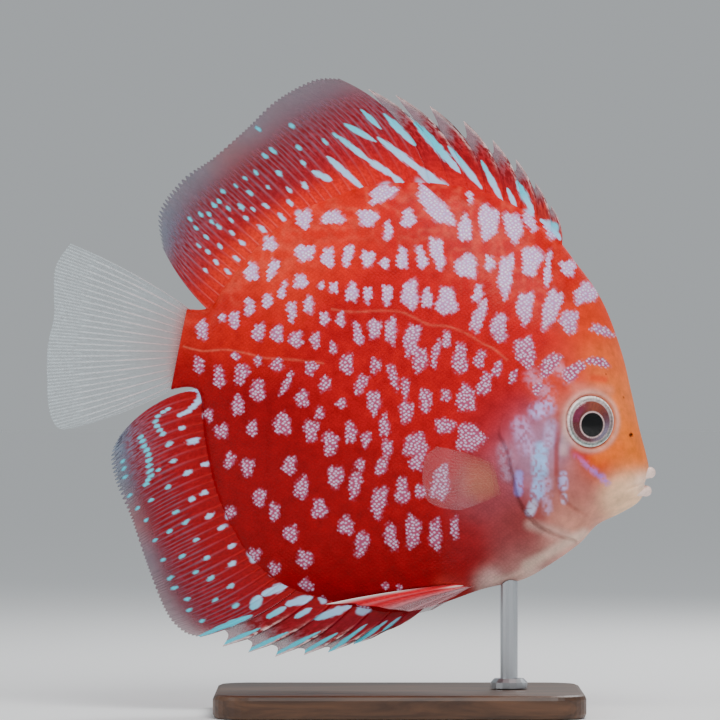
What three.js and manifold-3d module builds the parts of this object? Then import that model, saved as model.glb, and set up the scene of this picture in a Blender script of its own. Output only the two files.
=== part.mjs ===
// A discus fish as a still, life-size museum model, held over a flat base by one short rod.
// Millimetres. +X runs to the mouth, +Y to the fish's left side, +Z up, and the floor is at Z = 0.
import * as THREE from 'three';
import { mergeVertices } from 'three/addons/utils/BufferGeometryUtils.js';
import Module from 'manifold-3d';

const wasm = await Module();
wasm.setup();

// The thin cut between two neighbouring pieces
const GAP = 0.3;
// Edges shorter than this are closed up after a cut
const CUT_STEP = 0.012;

// Side outline of the body without its fins, as X and Z from the tail stalk to the mouth
const BACK_LINE = [
  [-41, 101], [-35.2, 101.6], [-30.2, 109], [-22, 118.3], [-13.5, 125.2], [-5.2, 129],
  [4.2, 132], [18, 132.9], [33.7, 130.2], [47.5, 122.8], [56.6, 112.1], [62.9, 102.8],
  [67.5, 90.7], [70.1, 80.2], [72, 71.5], [73.7, 65], [74.4, 61.2], [73.6, 58],
];
const BELLY_LINE = [
  [-45, 80.9], [-38.2, 80.4], [-36.6, 68.2], [-34, 55.8], [-29.7, 45.8], [-25, 38.5],
  [-17.7, 32.2], [-7, 28.4], [3, 26], [12, 25.1], [22.5, 27.4], [33, 31], [43, 33.4],
  [50, 37.3], [57, 42.3], [61.5, 47], [67, 49.8], [71.3, 52.3], [73, 54.6], [73.6, 58],
];
// The line along the flank where the body is thickest
const MIDDLE_LINE = [
  [-43, 91], [-30, 90], [-10, 87.5], [12, 84], [35, 79], [52, 74], [63, 67], [73.6, 58],
];

// Half thickness on that line, at shares of its length from the tail stalk to the mouth
const HALF_WIDTHS = [
  [0, 1.4], [0.06, 2.9], [0.12, 4.4], [0.2, 6.4], [0.35, 9.8], [0.5, 12.2], [0.62, 13.3],
  [0.72, 13.5], [0.8, 12.8], [0.87, 11.4], [0.92, 9.5], [0.96, 7.1], [0.985, 5.2], [1, 3.6],
];
// The flank falls off towards the outline in a lens shape, fuller on the head than on the tail
const LENS_POWER_TAIL = 2;
const LENS_POWER_HEAD = 2.7;
const LENS_ROUNDING = 0.8;
// The keel along the back and belly, where the fins stand
const KEEL_HALF = 0.9;
const KEEL_SHARPNESS = 20;
// Facets of the body: loops along its length, and steps from the middle line to the outline
const BODY_COLUMNS = 42;
const BODY_ROWS = 9;
const HEAD_COLUMNS = 29;
const HEAD_START = 0.55;

// Rear edge of the gill cover from the throat upwards, then the nape up to the dorsal fin
const GILL_EDGE = [
  [58.5, 38], [56.2, 43.2], [52.2, 44.6], [46.7, 47.3], [43.4, 50.8], [41.4, 54.8],
  [40.2, 60.3], [38.6, 66.5], [36.9, 70.2], [38.3, 74.2], [42.4, 75.6], [45, 77.5],
  [47.2, 86], [50.3, 98], [52.8, 109.5], [54.6, 118], [55.5, 123],
];
const GILL_TOP_Z = 76;
const GILL_FLARE = 0.8;
const GILL_FLARE_REACH = 6;
// The groove in front of the gill cover, down the cheek
const CHEEK_GROOVE_X = 51;
const CHEEK_GROOVE_LOW_Z = 55;
const CHEEK_GROOVE_HIGH_Z = 74;
const CHEEK_GROOVE_DEPTH = 0.6;
const CHEEK_GROOVE_SPREAD = 1.3;
// Where the body is cut into torso and tail stalk
const STALK_CUT = [[-33, 110], [-35.8, 101], [-36.4, 91], [-37.6, 80], [-38.5, 74]];

// Eye: centre in side view, radius, how far it stands out and how far it is turned forward
const EYE_X = 59.2;
const EYE_Z = 73;
const EYE_RADIUS = 6.45;
const EYE_FRONT = 2.5;
const EYE_BACK = 5.4;
const EYE_TURN = 0.38;
const EYE_SUNK = 0.9;
const PUPIL_RADIUS = 2.7;
const EYE_RIM = 0.55;

// Lips as two rolls round the small mouth, and the mouth line between them
const LIP_RADIUS = 1.35;
const LIP_END_RADIUS = 0.7;
const UPPER_LIP = [[69.2, 5.1, 56.3], [71.6, 4.5, 58.6], [74, 2.8, 59.9], [74.75, 0, 60.1]];
const LOWER_LIP = [[69.4, 5, 55], [71.4, 4.2, 55.2], [73.1, 2.6, 55.4], [73.75, 0, 55.5]];
const MOUTH_CORNER = [67.6, 55.4];
const MOUTH_BEND = [72.2, 57.3];
const MOUTH_FRONT = [78, 58.2];
const MOUTH_OPENING = 1.5;
const MOUTH_LINE_WIDTH = 0.35;
const NOSTRIL_X = 69.6;
const NOSTRIL_Z = 69.6;
const NOSTRIL_RADIUS = 0.6;
const NOSTRIL_DEPTH = 1.3;

// Thicknesses in the fins, as half sizes
const SPINE_HALF = 0.75;
const RAY_HALF = 0.52;
const RAY_TIP_HALF = 0.3;
const MEMBRANE_HALF = 0.26;
const MARGIN_HALF = 0.14;
const RAY_SHARE = 0.24;
const FIN_ROOT_DEPTH = 2;
const FIN_ROWS = 5;
// The web ends a little short of the ray tips, and each spine's lobe is widest past its middle
const FRINGE = 0.985;
const LOBE_MIDDLE = 0.45;

// Dorsal fin: eight spines from the nape back, then the soft rays
const DORSAL_FRONT_X = 53.2;
const DORSAL_SPLIT_X = 20.5;
const DORSAL_REAR_X = -34.6;
const DORSAL_SPINE_TIPS = [
  [50, 126.9], [46.1, 132.6], [41.2, 138.5], [35.4, 143.3], [28.1, 148.1], [19.6, 151.8],
  [11.1, 154.5], [4.3, 156],
];
const DORSAL_MARGIN = [
  [-3.2, 158.6], [-9.5, 158.2], [-18.7, 153.2], [-26.2, 146.1], [-34.2, 139.1],
  [-42.2, 133.5], [-48, 125.4], [-47.2, 116.6],
];
const DORSAL_RAYS = 26;
const DORSAL_NOTCH_FRONT = 0.52;
const DORSAL_NOTCH_REAR = 0.62;
const DORSAL_BULGE = [0.12, 0.13, 0.02, -0.05];
const DORSAL_SWAY = 1.3;

// Anal fin: seven spines from the belly back, then the soft rays
const ANAL_FRONT_X = 20;
const ANAL_SPLIT_X = -13;
const ANAL_REAR_X = -37.7;
const ANAL_SPINE_TIPS = [
  [7.5, 20.1], [0.5, 17.1], [-5.8, 15.1], [-11.8, 14.4], [-19, 14], [-25.8, 15], [-32.2, 16.5],
];
const ANAL_MARGIN = [
  [-37.8, 18.9], [-42, 20.3], [-46.2, 25], [-50.5, 35.5], [-54.9, 48.3], [-58.9, 57.8],
  [-60, 64.5], [-58, 69],
];
const ANAL_RAYS = 24;
const ANAL_NOTCH_FRONT = 0.74;
const ANAL_NOTCH_REAR = 0.78;
const ANAL_BULGE = [0.08, 0.06, -0.02, -0.1];
const ANAL_SWAY = -1.2;

// Caudal fin: a fan from the end of the tail stalk
const CAUDAL_MARGIN = [
  [-70.3, 117.4], [-73.8, 112], [-74.4, 106], [-74.4, 99], [-75.9, 92], [-76.1, 84],
  [-75.6, 76], [-73.4, 71.3], [-69.5, 71.2],
];
const CAUDAL_RAYS = 15;
const CAUDAL_BULGE = [0.03, 0.01, -0.01, -0.03];
const CAUDAL_SWAY = 2.2;
const CAUDAL_INSET = 0.04;

// Pectoral fin in its own flat plane: along the fin from its base, and up
const PECTORAL_X = 35.9;
const PECTORAL_Z = 58.4;
const PECTORAL_BASE_HALF = 3.4;
const PECTORAL_MARGIN = [
  [20.5, 8.6], [24, 6.2], [25.2, 2.2], [25, -1.5], [23.5, -4.6], [19, -6.4], [13, -7.2],
];
const PECTORAL_RAYS = 10;
const PECTORAL_TURN = 0.76;
const PECTORAL_ROOT_DEPTH = 1.6;
const PECTORAL_BEND = 2.2;

// Pelvic fins, folded back along the belly: ray tips from the long filament downwards
const PELVIC_ROOT = [33.6, 32.9];
const PELVIC_ROOT_STEP = [-0.75, -0.28];
const PELVIC_TIPS_RIGHT = [[-6.4, 27.4], [3, 27], [9.5, 26.2], [14.5, 25.6], [20, 26.6], [26, 29.4]];
const PELVIC_TIPS_LEFT = [[-1.5, 24.6], [5.5, 24], [10.5, 23.6], [15, 24.2], [20.5, 25.6], [26, 28.6]];
const PELVIC_HALF = 0.62;
const PELVIC_INNER_Y = 1.1;
const PELVIC_OUTER_Y = 5.2;
const PELVIC_FLARE_LENGTH = 13;

// Display stand
const BASE_LENGTH = 92;
const BASE_DEPTH = 64;
const BASE_HEIGHT = 6;
const BASE_CENTRE_X = 12;
const BASE_CORNER = 9;
const BASE_BEVEL = 1.2;
const ROD_X = 39.5;
const ROD_RADIUS = 2.2;
const ROD_FOOT_RADIUS = 4.6;
const ROD_FOOT_HEIGHT = 2.4;
const ROD_SINK = 3;

const flat = (points) => points.map(([x, z]) => new THREE.Vector2(x, z));
const back = new THREE.SplineCurve(flat(BACK_LINE));
const belly = new THREE.SplineCurve(flat(BELLY_LINE));
const middle = new THREE.SplineCurve(flat(MIDDLE_LINE));
const widths = new THREE.SplineCurve(flat(HALF_WIDTHS));
const gillEdge = new THREE.SplineCurve(flat(GILL_EDGE));
const gillSamples = gillEdge.getSpacedPoints(70);
const stalkCut = new THREE.SplineCurve(flat(STALK_CUT));

// A closed shape through equal loops of points, with a ladder of faces over both ends.
// The second half of each loop is the far face, and its quads are split as on the near face.
function loftGeometry(loops) {
  const size = loops[0].length;
  const last = loops.length - 1;
  const indices = [];
  const at = (column, row) => column * size + (row % size);
  for (let column = 0; column < last; column += 1) {
    for (let row = 0; row < size; row += 1) {
      const a = at(column, row);
      const b = at(column + 1, row);
      const c = at(column + 1, row + 1);
      const d = at(column, row + 1);
      if (row < size / 2) indices.push(a, b, c, a, c, d);
      else indices.push(a, b, d, b, c, d);
    }
  }
  for (let row = 0; row < size / 2 - 1; row += 1) {
    const far = size - 1 - row;
    const first = [row, row + 1, far - 1, far].map((place) => at(0, place));
    const final = [row, row + 1, far - 1, far].map((place) => at(last, place));
    indices.push(first[0], first[1], first[2], first[0], first[2], first[3]);
    indices.push(final[0], final[2], final[1], final[0], final[3], final[2]);
  }
  const geometry = new THREE.BufferGeometry().setFromPoints(loops.flat());
  geometry.setIndex(indices);
  return geometry;
}

// A solid for joining and cutting, from a closed geometry
function solid(geometry) {
  const bare = new THREE.BufferGeometry();
  bare.setAttribute('position', geometry.getAttribute('position'));
  if (geometry.index) bare.setIndex(geometry.index);
  const merged = mergeVertices(bare, 1e-4);
  const place = merged.getAttribute('position').array;
  const faces = [];
  let volume = 0;
  const corner = (index) => new THREE.Vector3().fromArray(place, index * 3);
  for (let i = 0; i < merged.index.count; i += 3) {
    const [a, b, c] = [0, 1, 2].map((step) => merged.index.getX(i + step));
    if (a === b || b === c || c === a) continue;
    faces.push([a, b, c]);
    volume += corner(a).dot(corner(b).cross(corner(c)));
  }
  const turned = volume < 0 ? faces.map(([a, b, c]) => [a, c, b]) : faces;
  const triVerts = new Uint32Array(turned.flat());
  const vertProperties = new Float32Array(place);
  return new wasm.Manifold(new wasm.Mesh({ numProp: 3, vertProperties, triVerts }));
}

// The largest closed surface of a solid, without the slivers that the cuts leave
function largest(piece) {
  const pieces = piece.asOriginal().simplify(CUT_STEP).decompose();
  return pieces.sort((one, other) => other.volume() - one.volume())[0];
}

// The faces of a solid as a geometry
function geometryOf(piece) {
  const { numProp, vertProperties, triVerts } = piece.getMesh();
  const positions = new Float32Array((vertProperties.length / numProp) * 3);
  for (let i = 0; i < positions.length / 3; i += 1) {
    positions.set(vertProperties.subarray(i * numProp, i * numProp + 3), i * 3);
  }
  const geometry = new THREE.BufferGeometry();
  geometry.setAttribute('position', new THREE.BufferAttribute(positions, 3));
  geometry.setIndex(new THREE.BufferAttribute(new Uint32Array(triVerts), 1));
  return geometry;
}

function meshFrom(piece, name, material) {
  const geometry = geometryOf(largest(piece));
  geometry.computeVertexNormals();
  const mesh = new THREE.Mesh(geometry, material);
  mesh.name = name;
  return mesh;
}

// The share of a line's length at which it crosses X, on a line that only runs forward
function shareAtX(line, x) {
  let low = 0;
  let high = 1;
  for (let step = 0; step < 30; step += 1) {
    const half = (low + high) / 2;
    if (line.getPointAt(half).x < x) low = half;
    else high = half;
  }
  return low;
}

// Half thickness of the body on its middle line, at a share of its length
function halfWidthOnMiddle(share) {
  return widths.getPointAt(shareAtX(widths, share)).y;
}

// Swellings and hollows of the head on top of the plain lens shape
function headRelief(x, z) {
  const nearest = Math.min(...gillSamples.map((p) => Math.hypot(p.x - x, p.y - z)));
  const rise = THREE.MathUtils.smoothstep(GILL_FLARE_REACH - nearest, 0, GILL_FLARE_REACH);
  const flare = GILL_FLARE * rise * THREE.MathUtils.smoothstep(GILL_TOP_Z + 4 - z, 0, 4);
  const across = Math.exp(-(((x - CHEEK_GROOVE_X) / CHEEK_GROOVE_SPREAD) ** 2));
  const along = THREE.MathUtils.smoothstep(z, CHEEK_GROOVE_LOW_Z - 2, CHEEK_GROOVE_LOW_Z + 2)
    * THREE.MathUtils.smoothstep(CHEEK_GROOVE_HIGH_Z + 2 - z, 0, 4);
  return flare - CHEEK_GROOVE_DEPTH * across * along;
}

// A point of the right flank: share along the body, share out to the back (+) or belly (-) outline
function flankPoint(share, out, { grow = 0, relief = null } = {}) {
  const from = middle.getPointAt(share);
  const to = (out > 0 ? back : belly).getPointAt(share);
  const reach = Math.max(from.distanceTo(to), 1e-6);
  const s = Math.abs(out);
  const point = from.clone().lerp(to, s * (1 + grow / reach));
  const headward = THREE.MathUtils.smoothstep(share, 0.55, 0.9);
  const power = THREE.MathUtils.lerp(LENS_POWER_TAIL, LENS_POWER_HEAD, headward);
  const lens = (1 - s ** power) ** LENS_ROUNDING;
  let half = halfWidthOnMiddle(share) * lens + KEEL_HALF * Math.sqrt(1 - s ** KEEL_SHARPNESS);
  if (s < 1) half += grow + (relief ? relief(point.x, point.y) * Math.min(1, 4 * lens) : 0);
  const x = share === 0 ? point.x - grow : point.x;
  return new THREE.Vector3(x, -half, point.y);
}

// The body between two shares of its length, as one closed solid
function bodySolid(start, end, columns, options) {
  const loops = [];
  for (let column = 0; column <= columns; column += 1) {
    const share = THREE.MathUtils.lerp(start, end, column / columns);
    const rightSide = [];
    for (let row = BODY_ROWS; row >= -BODY_ROWS; row -= 1) {
      const out = Math.sign(row) * Math.sin((Math.PI / 2) * Math.abs(row / BODY_ROWS));
      rightSide.push(flankPoint(share, out, options));
    }
    const leftSide = rightSide.map((p) => new THREE.Vector3(p.x, -p.y, p.z)).reverse();
    loops.push([...rightSide, ...leftSide]);
  }
  return solid(loftGeometry(loops));
}

// Half thickness of the body at a place of its side view
function halfThicknessAt(x, z) {
  let best = { miss: Infinity, half: 0 };
  const target = new THREE.Vector2(x, z);
  for (let share = 0; share <= 1; share += 0.004) {
    const from = middle.getPointAt(share);
    const upper = z > from.y ? 1 : -1;
    const to = (upper > 0 ? back : belly).getPointAt(share);
    const span = to.clone().sub(from);
    const s = THREE.MathUtils.clamp(target.clone().sub(from).dot(span) / span.lengthSq(), 0, 1);
    const miss = from.clone().lerp(to, s).distanceTo(target);
    if (miss < best.miss) best = { miss, half: -flankPoint(share, upper * s).y };
  }
  return best.half;
}

// A tall prism over a side-view outline, through the whole thickness of the fish
function prism(points, depth = 60) {
  const shape = new THREE.Shape(points);
  const geometry = new THREE.ExtrudeGeometry(shape, { depth, bevelEnabled: false, steps: 1 });
  geometry.rotateX(Math.PI / 2);
  geometry.translate(0, depth / 2, 0);
  return solid(geometry);
}

// A line moved sideways by a distance, to the left of its run
function offsetLine(line, distance, steps) {
  const points = [];
  for (let i = 0; i <= steps; i += 1) {
    const tangent = line.getTangentAt(i / steps);
    const sideways = new THREE.Vector2(-tangent.y, tangent.x).multiplyScalar(distance);
    points.push(line.getPointAt(i / steps).add(sideways));
  }
  return points;
}

// All that lies in front of the gill cover's edge
function headPrism(grow) {
  const edge = offsetLine(gillEdge, grow, 60);
  return prism([...edge, new THREE.Vector2(95, 123), new THREE.Vector2(95, 38)]);
}

// All that lies behind the cut through the tail stalk
function stalkPrism(grow) {
  const edge = offsetLine(stalkCut, grow, 12);
  return prism([...edge, new THREE.Vector2(-60, 74), new THREE.Vector2(-60, 110)]);
}

const body = bodySolid(0, 1, BODY_COLUMNS);
const bodyWithGap = bodySolid(0, 1, BODY_COLUMNS, { grow: GAP });

// Torso and tail stalk
function makeTorso() {
  return body.subtract(headPrism(GAP)).subtract(stalkPrism(GAP));
}

function makeTailStalk() {
  return body.intersect(stalkPrism(0));
}

// Eyes: a ball with a flat front, an iris rim and a raised pupil, turned out of the head's side
function eyeGeometry(grow) {
  const radius = EYE_RADIUS + grow;
  const profile = [];
  for (let step = 0; step <= 6; step += 1) {
    const angle = (Math.PI / 2) * (step / 6);
    profile.push(new THREE.Vector2(radius * Math.sin(angle), -(EYE_BACK + grow) * Math.cos(angle)));
  }
  if (grow > 0) {
    profile.push(new THREE.Vector2(radius, EYE_FRONT + 4), new THREE.Vector2(0, EYE_FRONT + 4));
  } else {
    profile.push(new THREE.Vector2(0.95 * radius, 0.45 * EYE_FRONT));
    profile.push(new THREE.Vector2(0.8 * radius, 0.7 * EYE_FRONT));
    profile.push(new THREE.Vector2(0.72 * radius, 0.7 * EYE_FRONT));
    profile.push(new THREE.Vector2(PUPIL_RADIUS, 0.86 * EYE_FRONT));
    profile.push(new THREE.Vector2(0.6 * PUPIL_RADIUS, 0.97 * EYE_FRONT));
    profile.push(new THREE.Vector2(0, EYE_FRONT));
  }
  profile[0].x = 0;
  return new THREE.LatheGeometry(profile, 20);
}

// Side is -1 on the fish's right and 1 on its left
function toEyePlace(geometry, side) {
  const depth = halfThicknessAt(EYE_X, EYE_Z) - EYE_SUNK;
  if (side < 0) geometry.rotateX(Math.PI);
  geometry.rotateZ(-side * EYE_TURN);
  geometry.translate(EYE_X, side * depth, EYE_Z);
  return geometry;
}

function eyeRimGeometry() {
  const rim = new THREE.TorusGeometry(EYE_RADIUS + GAP + 0.5 * EYE_RIM, EYE_RIM, 5, 24);
  rim.rotateX(Math.PI / 2);
  rim.scale(1, 1.6, 1);
  rim.translate(0, 0.2, 0);
  return rim;
}

// A roll of flesh that thins towards both corners of the mouth
function lipSolid(points) {
  const right = points.map(([x, y, z]) => new THREE.Vector3(x, -y, z));
  const left = points.map(([x, y, z]) => new THREE.Vector3(x, y, z)).reverse().slice(1);
  const path = new THREE.CatmullRomCurve3([...right, ...left]);
  const loops = [];
  const steps = 12;
  const sides = 6;
  for (let step = 0; step <= steps; step += 1) {
    const share = step / steps;
    const centre = path.getPointAt(share);
    const along = path.getTangentAt(share);
    const across = new THREE.Vector3(0, 0, 1).cross(along).normalize();
    const up = along.clone().cross(across).normalize();
    const radius = THREE.MathUtils.lerp(LIP_END_RADIUS, LIP_RADIUS, Math.sin(Math.PI * share) ** 0.6);
    const loop = [];
    for (let side = 0; side < sides; side += 1) {
      const angle = ((side + 0.5) / sides) * Math.PI * 2;
      const outward = across.clone().multiplyScalar(Math.cos(angle) * radius);
      loop.push(centre.clone().add(outward).add(up.clone().multiplyScalar(Math.sin(angle) * radius)));
    }
    loops.push(loop);
  }
  return solid(loftGeometry(loops));
}

// The line of the mouth, a thin cut that opens between the lips
function mouthSlit() {
  const [cornerX, cornerZ] = MOUTH_CORNER;
  const [bendX, bendZ] = MOUTH_BEND;
  const [frontX, frontZ] = MOUTH_FRONT;
  const half = MOUTH_LINE_WIDTH / 2;
  return prism(flat([
    [cornerX, cornerZ], [bendX, bendZ - half], [frontX, frontZ - MOUTH_OPENING],
    [frontX, frontZ + MOUTH_OPENING], [bendX, bendZ + half], [cornerX, cornerZ + half],
  ]), 30);
}

// The pit of a nostril
function nostril(side) {
  const pit = new THREE.CylinderGeometry(NOSTRIL_RADIUS, NOSTRIL_RADIUS * 0.7, 6, 10);
  const surface = halfThicknessAt(NOSTRIL_X, NOSTRIL_Z);
  if (side < 0) pit.rotateX(Math.PI);
  pit.translate(NOSTRIL_X, side * (surface - NOSTRIL_DEPTH + 3), NOSTRIL_Z);
  return solid(pit);
}

// Head with gill covers, lips, nostrils and eye rims
function makeHead() {
  let head = bodySolid(HEAD_START, 1, HEAD_COLUMNS, { relief: headRelief });
  head = head.intersect(headPrism(0));
  head = head.add(lipSolid(UPPER_LIP)).add(lipSolid(LOWER_LIP));
  for (const side of [-1, 1]) {
    head = head.add(solid(toEyePlace(eyeRimGeometry(), side)));
    head = head.subtract(solid(toEyePlace(eyeGeometry(GAP), side)));
    head = head.subtract(nostril(side));
  }
  return head.subtract(mouthSlit());
}

// A fin as one column of points for each path: a ridge on every ray or spine, membrane between.
// Each column holds a path from root to margin and its half thickness at both ends.
function finSolid(columns, sway, rows = FIN_ROWS) {
  const loops = columns.map(({ path, rootHalf, tipHalf }) => {
    const near = [];
    const far = [];
    for (let row = 0; row <= rows; row += 1) {
      const t = row / rows;
      const point = path(t);
      const half = row === rows ? MARGIN_HALF : THREE.MathUtils.lerp(rootHalf, tipHalf, t);
      const y = sway(point, t);
      near.push(new THREE.Vector3(point.x, y - half, point.y));
      far.unshift(new THREE.Vector3(point.x, y + half, point.y));
    }
    return [...near, ...far];
  });
  return solid(loftGeometry(loops));
}

// The bent line of a ray, bulging to the front by a share of its length
function rayPath(root, tip, bulge, front) {
  const chord = tip.clone().sub(root);
  const sideways = new THREE.Vector2(chord.y, -chord.x).multiplyScalar(2 * bulge * front);
  const knee = root.clone().lerp(tip, 0.5).add(sideways);
  const curve = new THREE.QuadraticBezierCurve(root, knee, tip);
  return (t) => curve.getPoint(t);
}

// A place on the body's outline, sunk by the root depth towards the middle of the flank
function rootOn(line, share) {
  const edge = line.getPointAt(share);
  const inward = middle.getPointAt(share).sub(edge).setLength(FIN_ROOT_DEPTH);
  return edge.add(inward);
}

// A value between the values of a list, at a share of the list's length
function between(values, share) {
  const place = share * (values.length - 1);
  const index = Math.min(Math.floor(place), values.length - 2);
  return THREE.MathUtils.lerp(values[index], values[index + 1], place - index);
}

// Columns for soft rays: membrane, ridge, membrane for each ray
function softColumns(count, pathAt) {
  const columns = [];
  for (let ray = 0; ray < count; ray += 1) {
    for (const offset of [-RAY_SHARE, 0, RAY_SHARE]) {
      const share = (ray + offset) / (count - 1);
      if (share < 0 || share > 1) continue;
      const ridge = offset === 0;
      const whole = pathAt(share);
      columns.push({
        path: ridge ? whole : (t) => whole(t * FRINGE),
        rootHalf: ridge ? RAY_HALF : MEMBRANE_HALF,
        tipHalf: ridge ? RAY_TIP_HALF : MEMBRANE_HALF,
      });
    }
  }
  return columns;
}

// Columns for spines: each lobe of membrane runs from its spine's tip back to a notch low on
// the next spine. The last path is the first ray of the soft part.
function spineColumns(paths, notchFront, notchRear, front) {
  const columns = [];
  const notched = (index, clear) => {
    const depth = THREE.MathUtils.lerp(notchFront, notchRear, index / (paths.length - 1));
    return (t) => {
      const point = paths[index](t * depth);
      const ahead = paths[index](Math.min(t * depth + 0.01, 1)).sub(point).normalize();
      return point.add(new THREE.Vector2(ahead.y, -ahead.x).multiplyScalar(clear * front));
    };
  };
  for (let spine = 0; spine < paths.length - 1; spine += 1) {
    const lastOne = spine === paths.length - 2;
    const nextNotch = notched(spine + 1, lastOne ? GAP : SPINE_HALF);
    const ridge = paths[spine];
    columns.push({ path: ridge, rootHalf: SPINE_HALF, tipHalf: RAY_TIP_HALF });
    const lobe = (t) => ridge(t).lerp(nextNotch(t), LOBE_MIDDLE);
    columns.push({ path: lobe, rootHalf: MEMBRANE_HALF, tipHalf: MEMBRANE_HALF });
    columns.push({ path: nextNotch, rootHalf: MEMBRANE_HALF, tipHalf: MEMBRANE_HALF });
  }
  return columns;
}

// The spiny and the soft part of a fin that runs along the back or the belly
function medianFin({ line, frontX, splitX, rearX, tips, margin, rays, notch, bulge, sway, front }) {
  const frontShare = shareAtX(line, frontX);
  const splitShare = shareAtX(line, splitX);
  const rearShare = shareAtX(line, rearX);
  const edge = new THREE.SplineCurve(flat(margin));
  const spineCount = tips.length;
  const softPath = (share) => rayPath(
    rootOn(line, THREE.MathUtils.lerp(splitShare, rearShare, share)),
    edge.getPointAt(share), between(bulge.slice(1), share), front,
  );
  const spinePaths = flat(tips).map((tip, index) => rayPath(
    rootOn(line, THREE.MathUtils.lerp(frontShare, splitShare, index / spineCount)),
    tip, THREE.MathUtils.lerp(bulge[0], bulge[1], index / spineCount), front,
  ));
  const spiny = finSolid(spineColumns([...spinePaths, softPath(0)], ...notch, front), sway);
  const soft = finSolid(softColumns(rays, softPath), sway);
  return { spiny: spiny.subtract(bodyWithGap), soft: soft.subtract(bodyWithGap) };
}

// A gentle sideways swing that grows away from the body
function medianSway(amount) {
  return (point, t) => amount * t * t * Math.sin((point.x - 20) / 22);
}

function makeDorsal() {
  return medianFin({
    line: back, frontX: DORSAL_FRONT_X, splitX: DORSAL_SPLIT_X, rearX: DORSAL_REAR_X,
    tips: DORSAL_SPINE_TIPS, margin: DORSAL_MARGIN, rays: DORSAL_RAYS,
    notch: [DORSAL_NOTCH_FRONT, DORSAL_NOTCH_REAR], bulge: DORSAL_BULGE,
    sway: medianSway(DORSAL_SWAY), front: 1,
  });
}

function makeAnal() {
  return medianFin({
    line: belly, frontX: ANAL_FRONT_X, splitX: ANAL_SPLIT_X, rearX: ANAL_REAR_X,
    tips: ANAL_SPINE_TIPS, margin: ANAL_MARGIN, rays: ANAL_RAYS,
    notch: [ANAL_NOTCH_FRONT, ANAL_NOTCH_REAR], bulge: ANAL_BULGE,
    sway: medianSway(ANAL_SWAY), front: -1,
  });
}

// Caudal fin
function makeCaudal() {
  const margin = new THREE.SplineCurve(flat(CAUDAL_MARGIN));
  const stalkEnd = [back.getPointAt(0), middle.getPointAt(0), belly.getPointAt(0)];
  const pathAt = (share) => {
    const along = THREE.MathUtils.lerp(CAUDAL_INSET, 1 - CAUDAL_INSET, share) * 2;
    const half = Math.min(Math.floor(along), 1);
    const root = stalkEnd[half].clone().lerp(stalkEnd[half + 1], along - half);
    root.x += FIN_ROOT_DEPTH;
    return rayPath(root, margin.getPointAt(share), between(CAUDAL_BULGE, share), 1);
  };
  const sway = (point, t) => CAUDAL_SWAY * t * t;
  return finSolid(softColumns(CAUDAL_RAYS, pathAt), sway, 6).subtract(bodyWithGap);
}

// Pectoral fin: a fan behind the gill cover, standing out and back from the flank
function makePectoral(side) {
  const margin = new THREE.SplineCurve(flat(PECTORAL_MARGIN));
  const pathAt = (share) => {
    const height = THREE.MathUtils.lerp(PECTORAL_BASE_HALF, -PECTORAL_BASE_HALF, share);
    const root = new THREE.Vector2(-PECTORAL_ROOT_DEPTH, height);
    return rayPath(root, margin.getPointAt(share), 0.03, share < 0.5 ? -1 : 1);
  };
  const sway = (point, t) => PECTORAL_BEND * t * (1 - t);
  const fan = finSolid(softColumns(PECTORAL_RAYS, pathAt), sway, 4);
  const geometry = geometryOf(fan);
  geometry.scale(1, side, 1);
  geometry.rotateZ(Math.PI - side * PECTORAL_TURN);
  geometry.translate(PECTORAL_X, side * halfThicknessAt(PECTORAL_X, PECTORAL_Z), PECTORAL_Z);
  return solid(geometry).subtract(bodyWithGap);
}

// Pelvic fin: one spine and five rays, folded back beside the belly
function makePelvic(side, tips) {
  const [rootX, rootZ] = PELVIC_ROOT;
  const [stepX, stepZ] = PELVIC_ROOT_STEP;
  const paths = flat(tips).map((tip, index) => rayPath(
    new THREE.Vector2(rootX + stepX * index, rootZ + stepZ * index), tip, 0.02, 1,
  ));
  const columns = [];
  paths.forEach((path, index) => {
    columns.push({ path, rootHalf: PELVIC_HALF, tipHalf: RAY_TIP_HALF });
    if (index === paths.length - 1) return;
    const webbed = (t) => path(t * FRINGE).lerp(paths[index + 1](t * FRINGE), 0.5);
    columns.push({ path: webbed, rootHalf: MEMBRANE_HALF, tipHalf: MEMBRANE_HALF });
  });
  const sway = (point) => {
    const out = THREE.MathUtils.smoothstep(rootX - point.x, -1, PELVIC_FLARE_LENGTH);
    return side * THREE.MathUtils.lerp(PELVIC_INNER_Y, PELVIC_OUTER_Y, out);
  };
  return finSolid(columns, sway, 5).subtract(bodyWithGap);
}

// Stand: a flat base with rounded corners and one rod up to the chest
function makeBase() {
  const halfLength = BASE_LENGTH / 2 - BASE_BEVEL;
  const halfDepth = BASE_DEPTH / 2 - BASE_BEVEL;
  const inner = BASE_CORNER - BASE_BEVEL;
  const outline = new THREE.Shape();
  const corners = [[1, 1, 0], [-1, 1, 1], [-1, -1, 2], [1, -1, 3]];
  for (const [alongX, alongY, quarter] of corners) {
    const x = alongX * (halfLength - inner);
    const y = alongY * (halfDepth - inner);
    outline.absarc(x, y, inner, (quarter * Math.PI) / 2, ((quarter + 1) * Math.PI) / 2, false);
  }
  const geometry = new THREE.ExtrudeGeometry(outline, {
    depth: BASE_HEIGHT - 2 * BASE_BEVEL, bevelThickness: BASE_BEVEL, bevelSize: BASE_BEVEL,
    bevelSegments: 2, curveSegments: 4, steps: 1,
  });
  geometry.translate(BASE_CENTRE_X, 0, BASE_BEVEL);
  return solid(geometry);
}

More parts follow.
